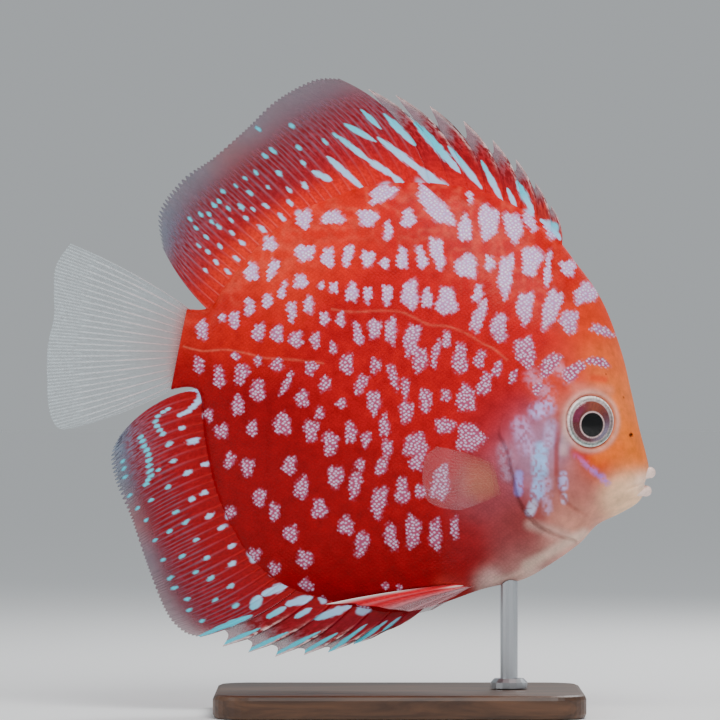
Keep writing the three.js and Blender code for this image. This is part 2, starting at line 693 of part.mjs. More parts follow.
function makeRod() {
  const chestZ = belly.getPointAt(shareAtX(belly, ROD_X)).y;
  const bottom = BASE_HEIGHT + GAP;
  const profile = [
    [0, bottom], [ROD_FOOT_RADIUS, bottom], [ROD_FOOT_RADIUS, bottom + ROD_FOOT_HEIGHT * 0.6],
    [ROD_FOOT_RADIUS * 0.8, bottom + ROD_FOOT_HEIGHT], [ROD_RADIUS, bottom + ROD_FOOT_HEIGHT],
    [ROD_RADIUS, chestZ + ROD_SINK], [0, chestZ + ROD_SINK],
  ].map(([x, y]) => new THREE.Vector2(x, y));
  const geometry = new THREE.LatheGeometry(profile, 16);
  geometry.rotateX(Math.PI / 2);
  geometry.translate(ROD_X, 0, 0);
  return solid(geometry).subtract(bodyWithGap);
}

const finish = (color, roughness, metalness = 0) => new THREE.MeshStandardMaterial({
  color, roughness, metalness,
});
const skinRed = finish('#d3222a', 0.42);
const skinHead = finish('#df7860', 0.42);
const finRed = finish('#b8283c', 0.4);
const finPale = finish('#9fb4bd', 0.4);
const eyeDark = finish('#5a2a34', 0.15);
const baseWood = finish('#4a3226', 0.5);
const rodSteel = finish('#b9bcc0', 0.3, 1);

const dorsal = makeDorsal();
const anal = makeAnal();

const fish = new THREE.Group();
fish.add(meshFrom(makeHead(), 'head', skinHead));
fish.add(meshFrom(makeTorso(), 'torso', skinRed));
fish.add(meshFrom(makeTailStalk(), 'tail_stalk', skinRed));
fish.add(meshFrom(dorsal.spiny, 'dorsal_fin_spiny', finRed));
fish.add(meshFrom(dorsal.soft, 'dorsal_fin_soft', finRed));
fish.add(meshFrom(anal.spiny, 'anal_fin_spiny', finRed));
fish.add(meshFrom(anal.soft, 'anal_fin_soft', finRed));
fish.add(meshFrom(makeCaudal(), 'caudal_fin', finPale));
fish.add(meshFrom(makePelvic(-1, PELVIC_TIPS_RIGHT), 'pelvic_fin_right', finRed));
fish.add(meshFrom(makePelvic(1, PELVIC_TIPS_LEFT), 'pelvic_fin_left', finRed));
for (const [side, word] of [[-1, 'right'], [1, 'left']]) {
  fish.add(meshFrom(makePectoral(side), `pectoral_fin_${word}`, finPale));
  fish.add(meshFrom(solid(toEyePlace(eyeGeometry(0), side)), `eye_${word}`, eyeDark));
}

const stand = new THREE.Group();
stand.add(meshFrom(makeBase(), 'stand_base', baseWood));
stand.add(meshFrom(makeRod(), 'stand_rod', rodSteel));

const model = new THREE.Group();
model.add(fish, stand);

export default model;
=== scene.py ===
import math

import bpy
import numpy as np
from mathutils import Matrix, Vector


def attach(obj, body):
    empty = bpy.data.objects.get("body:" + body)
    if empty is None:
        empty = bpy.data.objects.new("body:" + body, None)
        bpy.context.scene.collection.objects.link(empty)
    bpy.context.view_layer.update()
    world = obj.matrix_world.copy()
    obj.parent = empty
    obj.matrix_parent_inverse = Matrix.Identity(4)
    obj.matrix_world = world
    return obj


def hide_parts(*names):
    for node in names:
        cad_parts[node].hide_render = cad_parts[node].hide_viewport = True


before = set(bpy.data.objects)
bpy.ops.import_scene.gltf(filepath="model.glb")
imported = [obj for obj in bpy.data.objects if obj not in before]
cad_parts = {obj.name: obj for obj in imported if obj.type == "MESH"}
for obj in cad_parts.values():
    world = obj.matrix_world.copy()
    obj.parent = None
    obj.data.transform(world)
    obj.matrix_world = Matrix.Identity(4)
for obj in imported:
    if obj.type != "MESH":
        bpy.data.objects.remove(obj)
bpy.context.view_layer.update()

# Camera
# The fish is seen square on from its right side, from a metre and a half away. One pixel of
# the 720 pixel frame is a quarter of a millimetre on the fish's middle plane.
MM = 0.001
PIXEL = 0.25
FRAME_SIDE = 720
ORIGIN_PIXEL_X = 351
ORIGIN_PIXEL_Y = 713
CAMERA_DISTANCE = 1500
SENSOR = 36

camera = bpy.data.objects.new("photo_camera", bpy.data.cameras.new("photo_camera"))
bpy.context.scene.collection.objects.link(camera)
camera.data.sensor_width = SENSOR
camera.data.lens = SENSOR * CAMERA_DISTANCE / (FRAME_SIDE * PIXEL)
camera.location = Vector((
    (FRAME_SIDE / 2 - ORIGIN_PIXEL_X) * PIXEL,
    -CAMERA_DISTANCE,
    (ORIGIN_PIXEL_Y - FRAME_SIDE / 2) * PIXEL,
)) * MM
camera.rotation_euler = (math.pi / 2, 0, 0)
bpy.context.scene.camera = camera

# Skin of head, torso and tail stalk
# One skin runs from the lips to the end of the tail stalk: a flat, high body with a keel for the
# fins, a gill cover that stands proud of the flank, small lips, and diamond scales of 1.3 by
# 1.05 mm. The museum's cast is one piece here, painted and varnished to look wet.
BACK_LINE = [
    (-41, 101), (-35.2, 101.6), (-30.2, 109), (-22, 118.3), (-13.5, 125.2), (-5.2, 129),
    (4.2, 132), (18, 132.9), (33.7, 130.2), (47.5, 122.8), (56.6, 112.1), (62.9, 102.8),
    (67.5, 90.7), (70.1, 80.2), (72, 71.5), (73.7, 65), (74.4, 61.2), (73.6, 58),
]
BELLY_LINE = [
    (-45, 80.9), (-38.2, 80.4), (-36.6, 68.2), (-34, 55.8), (-29.7, 45.8), (-25, 38.5),
    (-17.7, 32.2), (-7, 28.4), (3, 26), (12, 25.1), (22.5, 27.4), (33, 31), (43, 33.4),
    (50, 37.3), (57, 42.3), (61.5, 47), (67, 49.8), (71.3, 52.3), (73, 54.6), (73.6, 58),
]
MIDDLE_LINE = [
    (-43, 91), (-30, 90), (-10, 87.5), (12, 84), (35, 79), (52, 74), (63, 67), (73.6, 58),
]
HALF_WIDTHS = [
    (0, 1.4), (0.06, 2.9), (0.12, 4.4), (0.2, 6.4), (0.35, 9.8), (0.5, 12.2), (0.62, 13.3),
    (0.72, 13.5), (0.8, 12.8), (0.87, 11.4), (0.92, 9.5), (0.96, 7.1), (0.985, 5.2), (1, 3.6),
]
KEEL_HALF = 0.9
SKIN_COLUMNS = 520
SKIN_ROWS = 150
GILL_EDGE = [
    (58.5, 38), (56.2, 43.2), (52.2, 44.6), (46.7, 47.3), (43.4, 50.8), (41.4, 54.8),
    (40.2, 60.3), (38.6, 66.5), (36.9, 70.2), (38.3, 74.2), (42.4, 75.6), (45, 77.5),
]
GILL_FLARE = 0.65
GILL_REACH = 6
SCALE_LENGTH = 1.3
SCALE_HEIGHT = 1.05
SCALE_RELIEF = 0.07
SCALE_WAVE = 0.3
SCALE_BEND = 0.0016
EYE_X = 59.2
EYE_Z = 73
EYE_RADIUS = 6.45
EYE_TURN = 0.38
EYE_SUNK = 0.9
UPPER_LIP = [(69.2, 5.1, 56.3), (71.6, 4.5, 58.6), (74, 2.8, 59.9), (74.75, 0, 60.1)]
LOWER_LIP = [(69.4, 5, 55), (71.4, 4.2, 55.2), (73.1, 2.6, 55.4), (73.75, 0, 55.5)]
LIP_RADIUS = 1.4
SOCKET_RADII = [0, 5.6, 6.5, 7.0, 7.6, 8.6, 10.5]
SOCKET_HEIGHTS = [-3.5, -3.2, 0.2, 0.95, 0.9, 0.35, 0]
SOCKET_INNER = 6.9
SOCKET_REACH = 10.5
SOCKET_DEPTH = 9
MOUTH_Z = 58
MOUTH_CUT = 1.3


def linear(hex_colour):
    """An sRGB hex colour as linear red, green and blue."""
    parts = [int(hex_colour[i:i + 2], 16) / 255 for i in (1, 3, 5)]
    return [p / 12.92 if p <= 0.04045 else ((p + 0.055) / 1.055) ** 2.4 for p in parts]


def smooth(value, low, high):
    """0 below low, 1 above high, and an even rise between."""
    t = np.clip((value - low) / (high - low), 0, 1)
    return t * t * (3 - 2 * t)


def line_through(points):
    """A smooth line through points, as a function of the share of its length."""
    knots = np.array(points, float)
    last = len(knots) - 1

    def at(t):
        place = np.clip(t, 0, 1) * last
        i = np.minimum(place.astype(int), last - 1)
        w = (place - i)[:, None]
        before, start = knots[np.maximum(i - 1, 0)], knots[i]
        end, after = knots[i + 1], knots[np.minimum(i + 2, last)]
        leave, arrive = (end - before) / 2, (after - start) / 2
        bend = 2 * start - 2 * end + leave + arrive
        turn = 3 * end - 3 * start - 2 * leave - arrive
        return bend * w ** 3 + turn * w ** 2 + leave * w + start

    table = np.linspace(0, 1, 401)
    steps = np.linalg.norm(np.diff(at(table), axis=0), axis=1)
    run = np.concatenate([[0], np.cumsum(steps)])
    return lambda share: at(np.interp(np.ravel(share) * run[-1], run, table))


back_line = line_through(BACK_LINE)
belly_line = line_through(BELLY_LINE)
middle_line = line_through(MIDDLE_LINE)
width_table = line_through(HALF_WIDTHS)(np.linspace(0, 1, 2001))


def flank(share, out):
    """Side-view place and half thickness at a share along the body and out from its middle line.

    A cross-section is a lens, blunter at the head, and the keel holds its edge open.
    """
    start = middle_line(share)
    edge = np.where(out[:, None] > 0, back_line(share), belly_line(share))
    s = np.abs(out)
    place = start + (edge - start) * s[:, None]
    power = 2 + 0.7 * smooth(share, 0.55, 0.9)
    lens = np.clip(1 - s ** power, 0, 1) ** 0.8
    half = np.interp(share, width_table[:, 0], width_table[:, 1]) * lens
    return place[:, 0], place[:, 1], half + KEEL_HALF * np.sqrt(np.clip(1 - s ** 20, 0, 1)), lens


def from_line(x, z, points, samples=300):
    """Distance from a line, positive to its right, and the share of the line that is nearest."""
    spots = line_through(points)(np.linspace(0, 1, samples))
    along = np.gradient(spots, axis=0)
    distance = np.full(x.shape, 1e3)
    nearest = np.zeros(x.shape, int)
    for i, (px, pz) in enumerate(spots):
        d = np.hypot(x - px, z - pz)
        closer = d < distance
        distance[closer] = d[closer]
        nearest[closer] = i
    dx, dz = x - spots[nearest, 0], z - spots[nearest, 1]
    side = np.sign(dx * along[nearest, 1] - dz * along[nearest, 0])
    return distance * side, nearest / (samples - 1)


def mesh_object(name, points, faces, attributes):
    """A smooth mesh from points in millimetres, with a value or colour for each point."""
    mesh = bpy.data.meshes.new(name)
    mesh.from_pydata(np.asarray(points) * MM, [], np.asarray(faces))
    for key, values in attributes.items():
        values = np.asarray(values, np.float32).reshape(len(points), -1)
        kind, field = ("FLOAT", "value") if values.shape[1] == 1 else ("FLOAT_VECTOR", "vector")
        mesh.attributes.new(key, kind, "POINT").data.foreach_set(field, values.ravel())
    mesh.validate()
    mesh.shade_smooth()
    piece = bpy.data.objects.new(name, mesh)
    bpy.context.scene.collection.objects.link(piece)
    return piece


def add(tree, kind, inputs=None, **settings):
    """A node with its settings, its values and its links."""
    made = tree.nodes.new(kind)
    for key, value in settings.items():
        setattr(made, key, value)
    for key, value in (inputs or {}).items():
        if isinstance(value, bpy.types.NodeSocket):
            tree.links.new(value, made.inputs[key])
        else:
            made.inputs[key].default_value = value
    return made


def new_material(name, **values):
    """A material with one shader, and that shader's constant values."""
    material = bpy.data.materials.new(name)
    material.use_nodes = True
    shader = material.node_tree.nodes["Principled BSDF"]
    for key, value in values.items():
        shader.inputs[key.replace("_", " ").title().replace("Ior", "IOR")].default_value = value
    return material, material.node_tree, shader


def attribute(tree, name, output="Fac"):
    """The values that a mesh keeps under a name for its points."""
    return add(tree, "ShaderNodeAttribute", attribute_name=name).outputs[output]


def noise(tree, place, scale, detail, roughness=0.5, distortion=0.0):
    """Soft random values over a place."""
    return add(tree, "ShaderNodeTexNoise", {
        "Vector": place, "Scale": scale, "Detail": detail, "Roughness": roughness,
        "Distortion": distortion,
    }).outputs["Fac"]


def span(tree, value, low, high, to_low, to_high):
    """A value carried from one range over to another and held at its ends."""
    return add(tree, "ShaderNodeMapRange", {
        0: value, 1: low, 2: high, 3: to_low, 4: to_high}).outputs[0]


def combine(tree, operation, one, other):
    """Two values put together by one step of arithmetic."""
    return add(tree, "ShaderNodeMath", {0: one, 1: other}, operation=operation).outputs[0]


def scaled(tree, colour, value):
    """A colour made darker or lighter by a value."""
    return add(tree, "ShaderNodeVectorMath", {0: colour, 3: value}, operation="SCALE").outputs[0]


def blend(tree, factor, one, other):
    """A colour between two, each a hex colour or another node's colour."""
    one, other = ((*linear(c), 1) if isinstance(c, str) else c for c in (one, other))
    return add(tree, "ShaderNodeMix", {"Factor": factor, 6: one, 7: other},
               data_type="RGBA").outputs[2]


def emboss(tree, shader, height, strength, distance):
    """Fine relief in the light on a surface, from a height and how far it rises in metres."""
    bump = add(tree, "ShaderNodeBump", {
        "Height": height, "Strength": strength, "Distance": distance,
    })
    tree.links.new(bump.outputs[0], shader.inputs["Normal"])


def patches(x, z, table):
    """Colours that run into each other, from named places of the side view and their reach."""
    total = np.zeros(x.shape + (3,))
    weight = np.full(x.shape, 1e-12)
    for px, pz, reach, colour in table:
        w = np.exp(-((x - px) ** 2 + (z - pz) ** 2) / (2 * reach ** 2))
        total += w[..., None] * np.array(linear(colour))
        weight += w
    return total / weight[..., None]


def speckle(x, z, size, seed):
    """Smooth random values from 0 to 1 that change over a given size."""
    def corner(i, k):
        wave = np.sin(i * 127.1 + k * 311.7 + seed * 74.7) * 43758.5453
        return wave - np.floor(wave)

    i, k = np.floor(x / size), np.floor(z / size)
    u, v = smooth(x / size - i, 0, 1), smooth(z / size - k, 0, 1)
    low = corner(i, k) * (1 - u) + corner(i + 1, k) * u
    high = corner(i, k + 1) * (1 - u) + corner(i + 1, k + 1) * u
    return low * (1 - v) + high * v


share_grid, row_grid = np.meshgrid(
    np.linspace(0, 1, SKIN_COLUMNS + 1), np.linspace(1, -1, 2 * SKIN_ROWS + 1), indexing="ij"
)
out_grid = np.sign(row_grid) * (1 - (1 - np.abs(row_grid)) ** 1.25)
near_x, near_z, near_half, near_lens = flank(share_grid.ravel(), out_grid.ravel())

# Relief of the head: gill cover, cheek groove, brow and cheek swellings, folds under the jaw
gill_distance, gill_share = from_line(near_x, near_z, GILL_EDGE)
edge_fade = smooth(gill_share, 0.03, 0.12) * (1 - smooth(gill_share, 0.75, 0.97))
on_cover = smooth(gill_distance, -0.15, 0.15)
cover = GILL_FLARE * on_cover * (1 - smooth(gill_distance, 0, GILL_REACH)) * edge_fade
slit = np.exp(-((gill_distance + 0.4) / 0.4) ** 2) * edge_fade
slit *= 1 - 0.7 * smooth(gill_share, 0.6, 0.9)
CHEEK_GROOVE = [(52.3, 75.5), (51.2, 71), (51, 64), (51.4, 57), (54, 52.3), (58.5, 49.6)]
groove_distance, groove_share = from_line(near_x, near_z, CHEEK_GROOVE, 120)
groove = np.exp(-(groove_distance / 0.55) ** 2)
groove *= np.sin(math.pi * np.clip(groove_share, 0.02, 0.98)) ** 0.5
# Each swelling: place, reach along and up, height
SWELLINGS = [
    (45, 64, 5, 9, 0.35), (56, 60, 4, 6, 0.45), (60, 81.5, 5, 2.6, 0.5), (66, 66, 4, 5, 0.25),
    (52, 101, 7, 10, 0.35), (47, 42.5, 6, 3, 0.25), (64.5, 53.5, 4, 2.5, 0.3),
]
relief = cover - 0.35 * slit - 0.4 * groove
for px, pz, reach_x, reach_z, height in SWELLINGS:
    relief += height * np.exp(-((near_x - px) / reach_x) ** 2 - ((near_z - pz) / reach_z) ** 2)
# Each fold: the line that it follows, its depth and its half width
JAW_FOLDS = [
    ([(67.4, 63), (67.2, 60), (68.2, 57), (68, 54.6)], 0.28, 0.4),
    ([(43.8, 48.8), (48, 46.2), (53, 44.2), (56.6, 43)], 0.25, 0.45),
    ([(45.5, 46.6), (50, 44), (55, 42.2)], 0.22, 0.4),
    ([(62, 49.8), (66, 51.6), (69.5, 53.2)], 0.14, 0.4),
    ([(73.4, 58), (72.2, 57.4), (70.2, 56.6), (68.2, 55.8)], 0.5, 0.35),
]
for points, depth, half_width in JAW_FOLDS:
    d, s = from_line(near_x, near_z, points, 60)
    relief -= depth * np.exp(-(d / half_width) ** 2) * np.sin(math.pi * np.clip(s, 0.02, 0.98))
relief *= np.minimum(1, 4 * near_lens)


# Scales lie in staggered rows like shingles, so their cells are diamonds
def scale_place(x, z):
    """Place in the pattern of scales along its two slanting rows, one unit to a scale."""
    along = x / SCALE_LENGTH + SCALE_WAVE * np.sin(z / 9)
    across = (z + SCALE_BEND * (x - 10) ** 2) / SCALE_HEIGHT
    return along + across, along - across


def scale_middle(x, z):
    """The middle, in the side view, of the scale that a place lies on."""
    one, other = scale_place(x, z)
    one, other = np.floor(one) + 0.5, np.floor(other) + 0.5
    middle_z = (one - other) / 2 * SCALE_HEIGHT - SCALE_BEND * (x - 10) ** 2
    middle_x = ((one + other) / 2 - SCALE_WAVE * np.sin(middle_z / 9)) * SCALE_LENGTH
    return middle_x, middle_z


scale_one, scale_other = scale_place(near_x, near_z)
in_one = scale_one - np.floor(scale_one) - 0.5
in_other = scale_other - np.floor(scale_other) - 0.5
dome = np.clip(1 - 3.2 * (in_one ** 2 + in_other ** 2), 0, 1)
tilt = 0.5 - (in_one + in_other) / 2
bare_snout = smooth(near_x - 0.35 * (near_z - 60), 54, 62)
smooth_head = 0.8 * smooth(near_x, 44, 54) * smooth(108 - near_z, 0, 12)
smooth_cover = 0.75 * on_cover * smooth(80 - near_z, 0, 6)
scaly = (1 - bare_snout) * (1 - smooth_head) * (1 - smooth_cover) * np.minimum(1, 6 * near_lens)
relief += SCALE_RELIEF * (0.6 * dome + 0.4 * tilt * dome) * scaly

# Both flanks from the one relief, joined along the back and the belly
columns = SKIN_COLUMNS + 1
rows = 2 * SKIN_ROWS + 1


def both_sides(values, mirrored=None):
    """Values of the right flank carried on round the belly and up the left flank."""
    grid = values.reshape(columns, rows, -1)
    far = (values if mirrored is None else mirrored).reshape(columns, rows, -1)
    return np.concatenate([grid, far[:, -2:0:-1]], axis=1).reshape(columns * (2 * rows - 2), -1)


inner = (np.abs(out_grid.ravel()) < 1).astype(float)
near_y = -(near_half + relief * inner)
skin = np.stack([near_x, near_y, near_z], axis=1)


def natural_side_y(x, z):
    """Half thickness of the plain body at one place."""
    i = np.argmin((near_x - x) ** 2 + (near_z - z) ** 2)
    return near_half[i]


# The socket: the skin dips under the eye and rises into a soft ring round it
eye_depth = natural_side_y(EYE_X, EYE_Z) - EYE_SUNK
eye_axis = np.array([math.sin(EYE_TURN), -math.cos(EYE_TURN), 0])
eye_centre = np.array([EYE_X, -eye_depth, EYE_Z])
from_eye = skin - eye_centre
height = from_eye @ eye_axis
radial = np.linalg.norm(from_eye - height[:, None] * eye_axis, axis=1)
ring_height = np.interp(radial, SOCKET_RADII, SOCKET_HEIGHTS)
keep_skin = smooth(radial, SOCKET_INNER, SOCKET_REACH)
near_eye = (radial < SOCKET_REACH) & (np.abs(height) < SOCKET_DEPTH)
lift = (ring_height - height) * (1 - keep_skin)
skin[near_eye] += (lift[:, None] * eye_axis)[near_eye]

# The opening of the mouth is a short notch between the lips
mouth = np.exp(-((skin[:, 2] - MOUTH_Z) / 0.7) ** 2 - (skin[:, 1] / 3) ** 2)
mouth *= smooth(skin[:, 0], 70.5, 73)
skin[:, 0] -= MOUTH_CUT * mouth
lip_mask = np.exp(-((np.hypot(skin[:, 0] - 73.2, skin[:, 2] - 57.6) / 2.6) ** 2))

# Nostril pits and the small pores of the head: place, radius and depth
NOSTRILS = [(69.6, 69.6, 0.62, 1.1), (67.8, 79, 0.25, 0.3), (63.3, 84.8, 0.22, 0.25)]
pit_mask = np.zeros(len(skin))
for px, pz, radius, depth in NOSTRILS:
    d = np.hypot(skin[:, 0] - px, skin[:, 2] - pz)
    skin[:, 1] += depth * (1 - smooth(d, 0.35 * radius, radius))
    skin[:, 1] -= 0.18 * np.exp(-((d - 1.35 * radius) / (0.4 * radius)) ** 2)
    pit_mask = np.maximum(pit_mask, 1 - smooth(d, 0.5 * radius, 1.1 * radius))

# Ground colours of the skin: place in the side view, reach and colour. The reds darken from the
# back down to the belly, partly the fish's own colour and partly painted shade.
SKIN_COLOURS = [
    (25, 118, 9, "#CC000A"), (46, 112, 7, "#D00208"), (52, 116, 4, "#DA2008"),
    (60, 99, 5, "#E03A14"), (64, 88, 4, "#EC6430"), (67, 79, 4, "#F07838"), (67, 67, 4, "#EE7424"),
    (61, 63, 3, "#C43C0C"), (55, 57, 4.5, "#AC6058"), (45, 66, 5, "#A87C98"),
    (68, 54, 3.5, "#F6C8A0"), (57, 47, 4, "#D08C78"), (47, 40, 4, "#9C5452"),
    (45, 34.5, 2.5, "#F0D0C0"), (31, 40, 4, "#98141C"), (25, 29, 2.5, "#B03030"),
    (40, 37.5, 3, "#B07470"), (35, 33.5, 2, "#E8C4BC"), (38, 43, 3, "#943C40"),
    (52, 40.5, 3, "#DDA898"), (17, 83, 12, "#BC000E"), (0, 53, 12, "#9C000C"),
    (-20, 58, 10, "#92000C"), (-32, 72, 7, "#94000C"), (-5, 122, 6, "#DC1A0A"),
    (-23, 111, 6, "#DC2A14"), (-39, 97, 4, "#BC180C"), (-40, 84, 4, "#A0000A"),
    (40, 98, 8, "#C8000A"), (36, 73, 5, "#A8141E"), (35, 57, 5, "#984048"), (5, 34, 7, "#94000C"),
    (42, 48, 3.5, "#8A3434"), (-28, 97, 6, "#C20A0A"), (52, 84, 4, "#D83C28"),
    (55, 76, 3, "#C86858"),
]
# Shiny blue and violet marks of the head: two ends, half width, softness, colour and strength
SHINY_MARKS = [
    ((46.8, 66, 46.8, 60.5), 1.6, 1.2, "#9CC0F4", 0.95),
    ((46.5, 57.5, 46.3, 55), 1.4, 1, "#9CB8F0", 0.9),
    ((45.2, 52.5, 44.4, 50.6), 0.9, 0.8, "#BFC8EA", 0.8),
    ((41.6, 60, 41.5, 55.5), 0.8, 0.8, "#9A90E0", 0.9),
    ((52.6, 59.5, 52.6, 57), 0.9, 0.8, "#B8B8F0", 0.8),
    ((52.8, 54.4, 53, 53.2), 0.6, 0.6, "#C8C8F0", 0.8),
    ((46, 75.6, 48.5, 76.6), 1.5, 1.4, "#C4B0EC", 0.85),
    ((42, 72, 43.5, 67), 1.6, 1.8, "#C8A4D8", 0.7), ((49.5, 72, 49.2, 68), 1, 1.4, "#C8B8EC", 0.6),
    ((50, 87.5, 53.5, 84), 1, 1.8, "#D8C8F0", 0.35),
    ((45, 84, 48.5, 80), 1.2, 2.2, "#D0B4DC", 0.45),
    ((56, 64.8, 63.6, 57.9), 0.5, 1.1, "#A876D0", 0.85),
    ((48.6, 58, 48.8, 51), 0.7, 1.2, "#C9B4E4", 0.5), ((38, 66, 39, 60), 1.2, 1.6, "#B8A0C0", 0.45),
]
SOFT_MARKS = [
    ((52.5, 73.5, 52.6, 65.5), 0.6, 1.4, "#E6CDC6", 0.35),
    ((56.5, 66, 61.5, 63.3), 1.5, 1.8, "#C82C04", 0.9),
    ((61.5, 63.8, 66, 66.5), 1.4, 2.4, "#EC6A1C", 0.8),
    ((44.5, 47.4, 56, 43.6), 0.7, 1.8, "#EBC8BA", 0.4),
    ((55.5, 81.5, 64, 80.6), 0.8, 1.6, "#E8907C", 0.4),
    ((44, 37, 58, 45), 0.8, 1.6, "#F0D8C4", 0.55), ((36, 33, 45, 36), 0.5, 1.2, "#EBC9BA", 0.5),
    ((60, 83.8, 63, 83.4), 0.6, 0.8, "#E2401A", 0.7),
    # This dark stroke lies in the cheek groove: painted shade in that crease
    ((51, 75, 50.8, 60), 0.4, 0.6, "#A8382C", 0.5),
]


def near_stroke(x, z, ends, half_width, softness):
    """1 on a short stroke between two places, fading out beside it."""
    ax, az, bx, bz = ends
    long = max((bx - ax) ** 2 + (bz - az) ** 2, 1e-6)
    t = np.clip(((x - ax) * (bx - ax) + (z - az) * (bz - az)) / long, 0, 1)
    d = np.hypot(x - ax - t * (bx - ax), z - az - t * (bz - az))
    return 1 - smooth(d, half_width - softness / 2, half_width + softness)


ground = patches(near_x, near_z, SKIN_COLOURS)


def paint(mask, colour):
    """Lays a colour over the ground where the mask says."""
    ground[:] += (np.array(linear(colour)) - ground) * mask[:, None]


# Pale veins run through the red of the back and of the tail stalk
veined = smooth(near_z + 0.5 * np.abs(near_x - 5), 112, 128) * smooth(58 - near_x, 0, 14)
veins = 1 - np.abs(2 * speckle(near_x, near_z, 2.6, 12) - 1)
veins *= 0.5 + 0.7 * speckle(near_x, near_z, 0.9, 14)
paint(0.3 * veined * smooth(veins, 0.2, 1.0), "#FF6A50")
# The marks of the head are broken up by small darker cells
cell_edges = speckle(near_x, near_z, 0.62, 3) + 0.5 * speckle(near_x, near_z, 1.5, 8)
broken = 0.15 + 0.85 * smooth(cell_edges, 0.4, 0.85)
for ends, half_width, softness, colour, strength in SHINY_MARKS:
    paint(strength * broken * near_stroke(near_x, near_z, ends, half_width, softness), colour)
for ends, half_width, softness, colour, strength in SOFT_MARKS:
    paint(strength * near_stroke(near_x, near_z, ends, half_width, softness), colour)
eye_ring = np.exp(-((radial - 7.2) / 0.8) ** 2) * near_eye
paint(0.55 * eye_ring, "#E9B4A6")
paint(0.7 * lip_mask, "#F2D4C4")
# Painted shade: the notch of the mouth, the cheek groove, the slit behind the gill cover and the
# nostril pits are darkened where shade falls in them
paint(0.6 * mouth, "#7A3A2C")
paint(0.45 * groove, "#8A3028")
paint(0.3 * slit, "#6A2420")
paint(0.75 * pit_mask, "#3A1A14")

